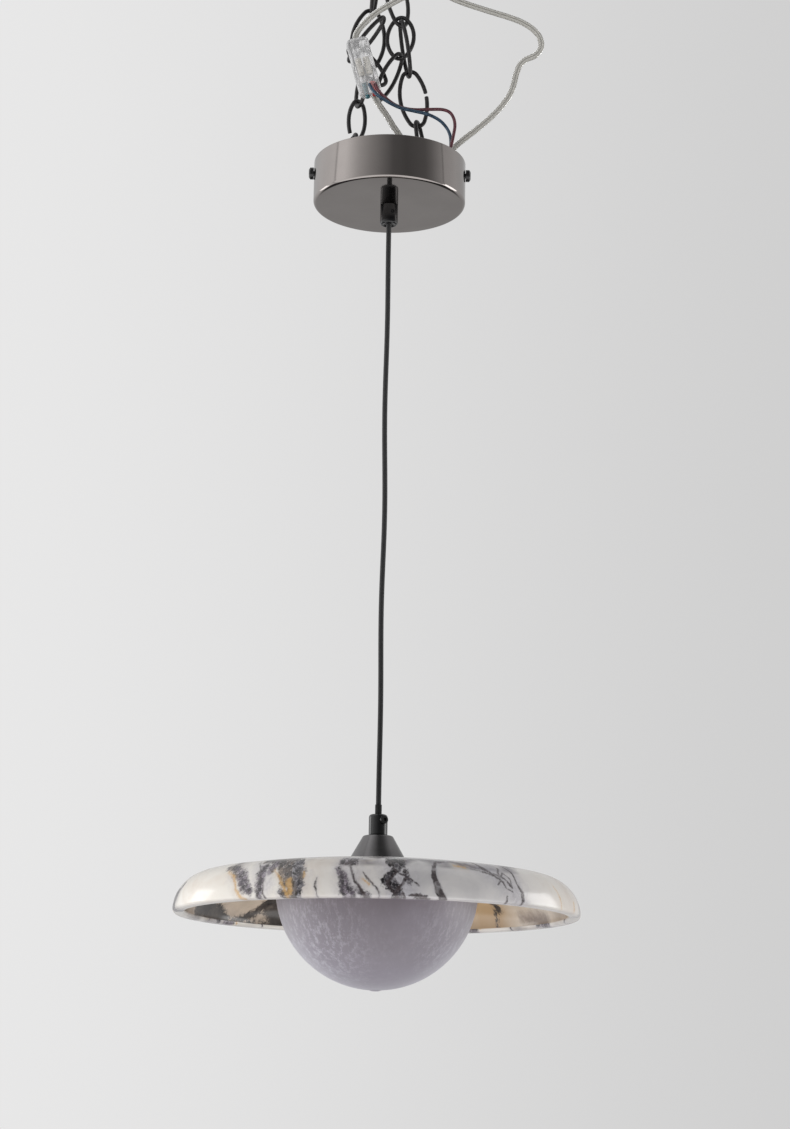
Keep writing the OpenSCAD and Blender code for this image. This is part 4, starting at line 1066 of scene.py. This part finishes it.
inside_colour = n.mix(net_in, inside_colour, crack_colour)
inner_wall = n.add("Attribute")
inner_wall.attribute_name = "inside"
colour = n.mix(inner_wall.outputs["Fac"], colour, inside_colour)

# Painted shade on the lip, greyer than the rest of the stone, and a fine unevenness of the polish
lip_shade = n.span(height_mm, 0.3, 2.4, 1, 0)
n.shade(Base_Color=n.mix(n.times(lip_shade, 0.45), colour, (0.30, 0.28, 0.285)),
        Roughness=n.span(n.noise(120, 4), 0.3, 0.7, 0.14, 0.24),
        Normal=n.bump(n.noise(25, 3), 0.04, 0.0006))
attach(stone, "lamp")
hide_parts("marble_shade")

# Dome: a mouth-blown opal glass bowl, frosted outside, lilac grey with faint mottling and
# streaks, and the small sealed tip left at its bottom.
DOME_R = 0.075
GLASS_T = 0.003
dome_low, dome_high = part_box("glass_dome")
DOME_Z = dome_high.z - 0.0045
q = np.linspace(-math.pi / 2, 0, 90)
dome_out = xz_arc(0, DOME_Z, DOME_R, q)[:, ::2]
tip = 0.0022 * np.exp(-((dome_out[:, 0] / 0.0026) ** 2))
dome_out[:, 1] -= np.minimum(tip, DOME_Z - DOME_R - dome_low.z)
dome_in = xz_arc(0, DOME_Z, DOME_R - GLASS_T, q)[::-1, ::2]
rim_round = arc_2d(DOME_R - GLASS_T / 2, dome_high.z - GLASS_T / 2, GLASS_T / 2, 0, 180, 9)
dome_out[0, 0] = 0.00002
dome_in[-1, 0] = 0.00002
n = Finish("opal_glass", Roughness=0.5, IOR=1.45, Transmission_Weight=0.08,
           Coat_Weight=0.15, Coat_Roughness=0.35)
dome = lathe("glass_dome_bowl", n.material, np.vstack([dome_out, rim_round, dome_in]), 200)
coords = n.add("TexCoord").outputs["Object"]
mottle = n.noise(560, 6, 0.75)
streak_map = n.add("Mapping", Vector=coords, Rotation=(0.0, 0.6, 0.0), Scale=(1.0, 1.0, 0.25))
streaks = n.noise(260, 6, 0.75, vector=streak_map.outputs[0])
x, y, z = n.parts(coords)
# Pale frosting flecks and streaks, kept to the sides and the lower part: the glass's own texture,
# and painted light where they lighten the sides and bottom
sideways = n.span(n.math("ABSOLUTE", n.math("SUBTRACT", x, 0.012)), 0.012, 0.055, 0.1, 1.0)
low_down = n.span(z, DOME_Z - 0.052, DOME_Z - 0.014, 1.0, 0.35)
flecks_and_side_light = n.times(n.math("ADD", mottle, 0.6), n.times(streaks, 0.95))
flecks_and_side_light = n.times(n.span(flecks_and_side_light, 0.51, 0.65), sideways, low_down)
# Painted light: the glass is lighter towards its grazing edges and towards its bottom, standing for
# light through its sides and from below
rim_view = n.add("LayerWeight", Blend=0.35).outputs["Facing"]
painted_edge_light = n.times(n.span(rim_view, 0.15, 0.8), low_down, 0.8)
tone = n.ramp(n.noise(22, 4), [
    (0.35, (0.19, 0.167, 0.196)), (0.55, (0.212, 0.188, 0.224)), (0.7, (0.24, 0.216, 0.258)),
])
glass_tone_with_edge_light = n.mix(painted_edge_light, tone, (0.46, 0.445, 0.50))
n.shade(Base_Color=n.mix(n.times(flecks_and_side_light, 0.5), glass_tone_with_edge_light, (0.6, 0.59, 0.66)),
        Roughness=n.span(mottle, 0.3, 0.7, 0.42, 0.6),
        Normal=n.bump(mottle, 0.12, 0.0005))
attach(dome, "dome")
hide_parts("glass_dome")

# Lamp inside the dome: white gallery plate, ceramic two-pin holder with its leads and a
# small frosted capsule bulb.
for name, nodes, low, high, rough in (
    ("white_paint", ("dome_gallery",), (0.62, 0.62, 0.6), (0.8, 0.8, 0.78), 0.45),
    ("ceramic", ("lamp_holder", "bulb_base"), (0.66, 0.65, 0.6), (0.84, 0.83, 0.79), 0.6),
    ("white_silicone", ("lamp_leads",), (0.6, 0.58, 0.52), (0.75, 0.73, 0.67), 0.55),
):
    material = mottled(name, 300, 4, low, high, bump=0.1, Roughness=rough)
    cad_finish(material, *nodes)
capsule_material = mottled(
    "frosted_capsule", 500, 3, (0.78, 0.78, 0.75), (0.9, 0.9, 0.87), rough=(0.4, 0.6),
    Roughness=0.5, Transmission_Weight=0.4,
)
cad_finish(capsule_material, "bulb_capsule")

# Connector: a clear moulded housing with ribs down its front, two pale brass clamps in its
# bores and a teal and a red sleeve at its lower end.
BLOCK_LEAN = 15
block_mid = np.array([-0.022, -0.0195, CANOPY_Z + 0.109])
block_turn = turn_matrix(y=-BLOCK_LEAN)
HALF_W = 0.009
HALF_T = 0.006
HALF_L = 0.024
BLOCK_ROWS = 90
BLOCK_SIDES = 96
rows = np.linspace(-1, 1, BLOCK_ROWS)
a = np.linspace(0, 2 * np.pi, BLOCK_SIDES, endpoint=False)
rows, turns = np.meshgrid(rows, a, indexing="ij")
end_in = np.clip((np.abs(rows) - 0.86) / 0.14, 0, 1)
shrink = 1 - 0.22 * end_in ** 2
cw = np.sign(np.cos(turns)) * np.abs(np.cos(turns)) ** 0.42
sw = np.sign(np.sin(turns)) * np.abs(np.sin(turns)) ** 0.42
rib = 0.00035 * np.cos(cw * 14) * np.abs(sw) ** 2 * (1 - end_in)
block_verts = np.stack([
    HALF_W * cw * shrink, (HALF_T - 0.0004) * sw * (1 - 0.1 * end_in) + rib * np.sign(sw),
    HALF_L * rows,
], axis=2)
block_verts = block_verts.reshape(-1, 3) @ block_turn.T + block_mid
faces = grid_faces(BLOCK_ROWS, BLOCK_SIDES)
faces.append(list(range(BLOCK_SIDES))[::-1])
faces.append(list(range(len(block_verts) - BLOCK_SIDES, len(block_verts))))
n = Finish("clear_housing", Roughness=0.25, IOR=1.3, Transmission_Weight=0.7)
block = mesh_piece("connector_housing", n.material, block_verts, faces)
lengthwise = n.add("Mapping", Vector=n.add("TexCoord").outputs["Object"],
                   Rotation=(0.0, math.radians(BLOCK_LEAN), 0.0), Scale=(1.0, 1.0, 0.22))
ripple = n.noise(420, 4, 0.65, vector=lengthwise.outputs[0], distort=0.6)
n.shade(Base_Color=n.mix(n.span(ripple, 0.4, 0.62), (0.86, 0.855, 0.865), (0.99, 0.99, 0.99)),
        Roughness=n.span(ripple, 0.3, 0.7, 0.12, 0.4),
        Normal=n.bump(ripple, 0.3, 0.0006))
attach(block, "chain")
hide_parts("connector_block")
brass_material = mottled("clamp_brass", 300, 4, (0.6, 0.57, 0.5), (0.86, 0.83, 0.75),
                         Metallic=1.0, Roughness=0.3)
cad_finish(brass_material, "connector_clamps")
for name, node, low, high in (
    ("teal_plastic", "teal_sleeve", (0.03, 0.12, 0.15), (0.07, 0.22, 0.26)),
    ("red_plastic", "red_sleeve", (0.5, 0.02, 0.02), (0.75, 0.05, 0.04)),
):
    material = mottled(name, 300, 4, low, high, rough=(0.28, 0.45), Roughness=0.35)
    cad_finish(material, node)
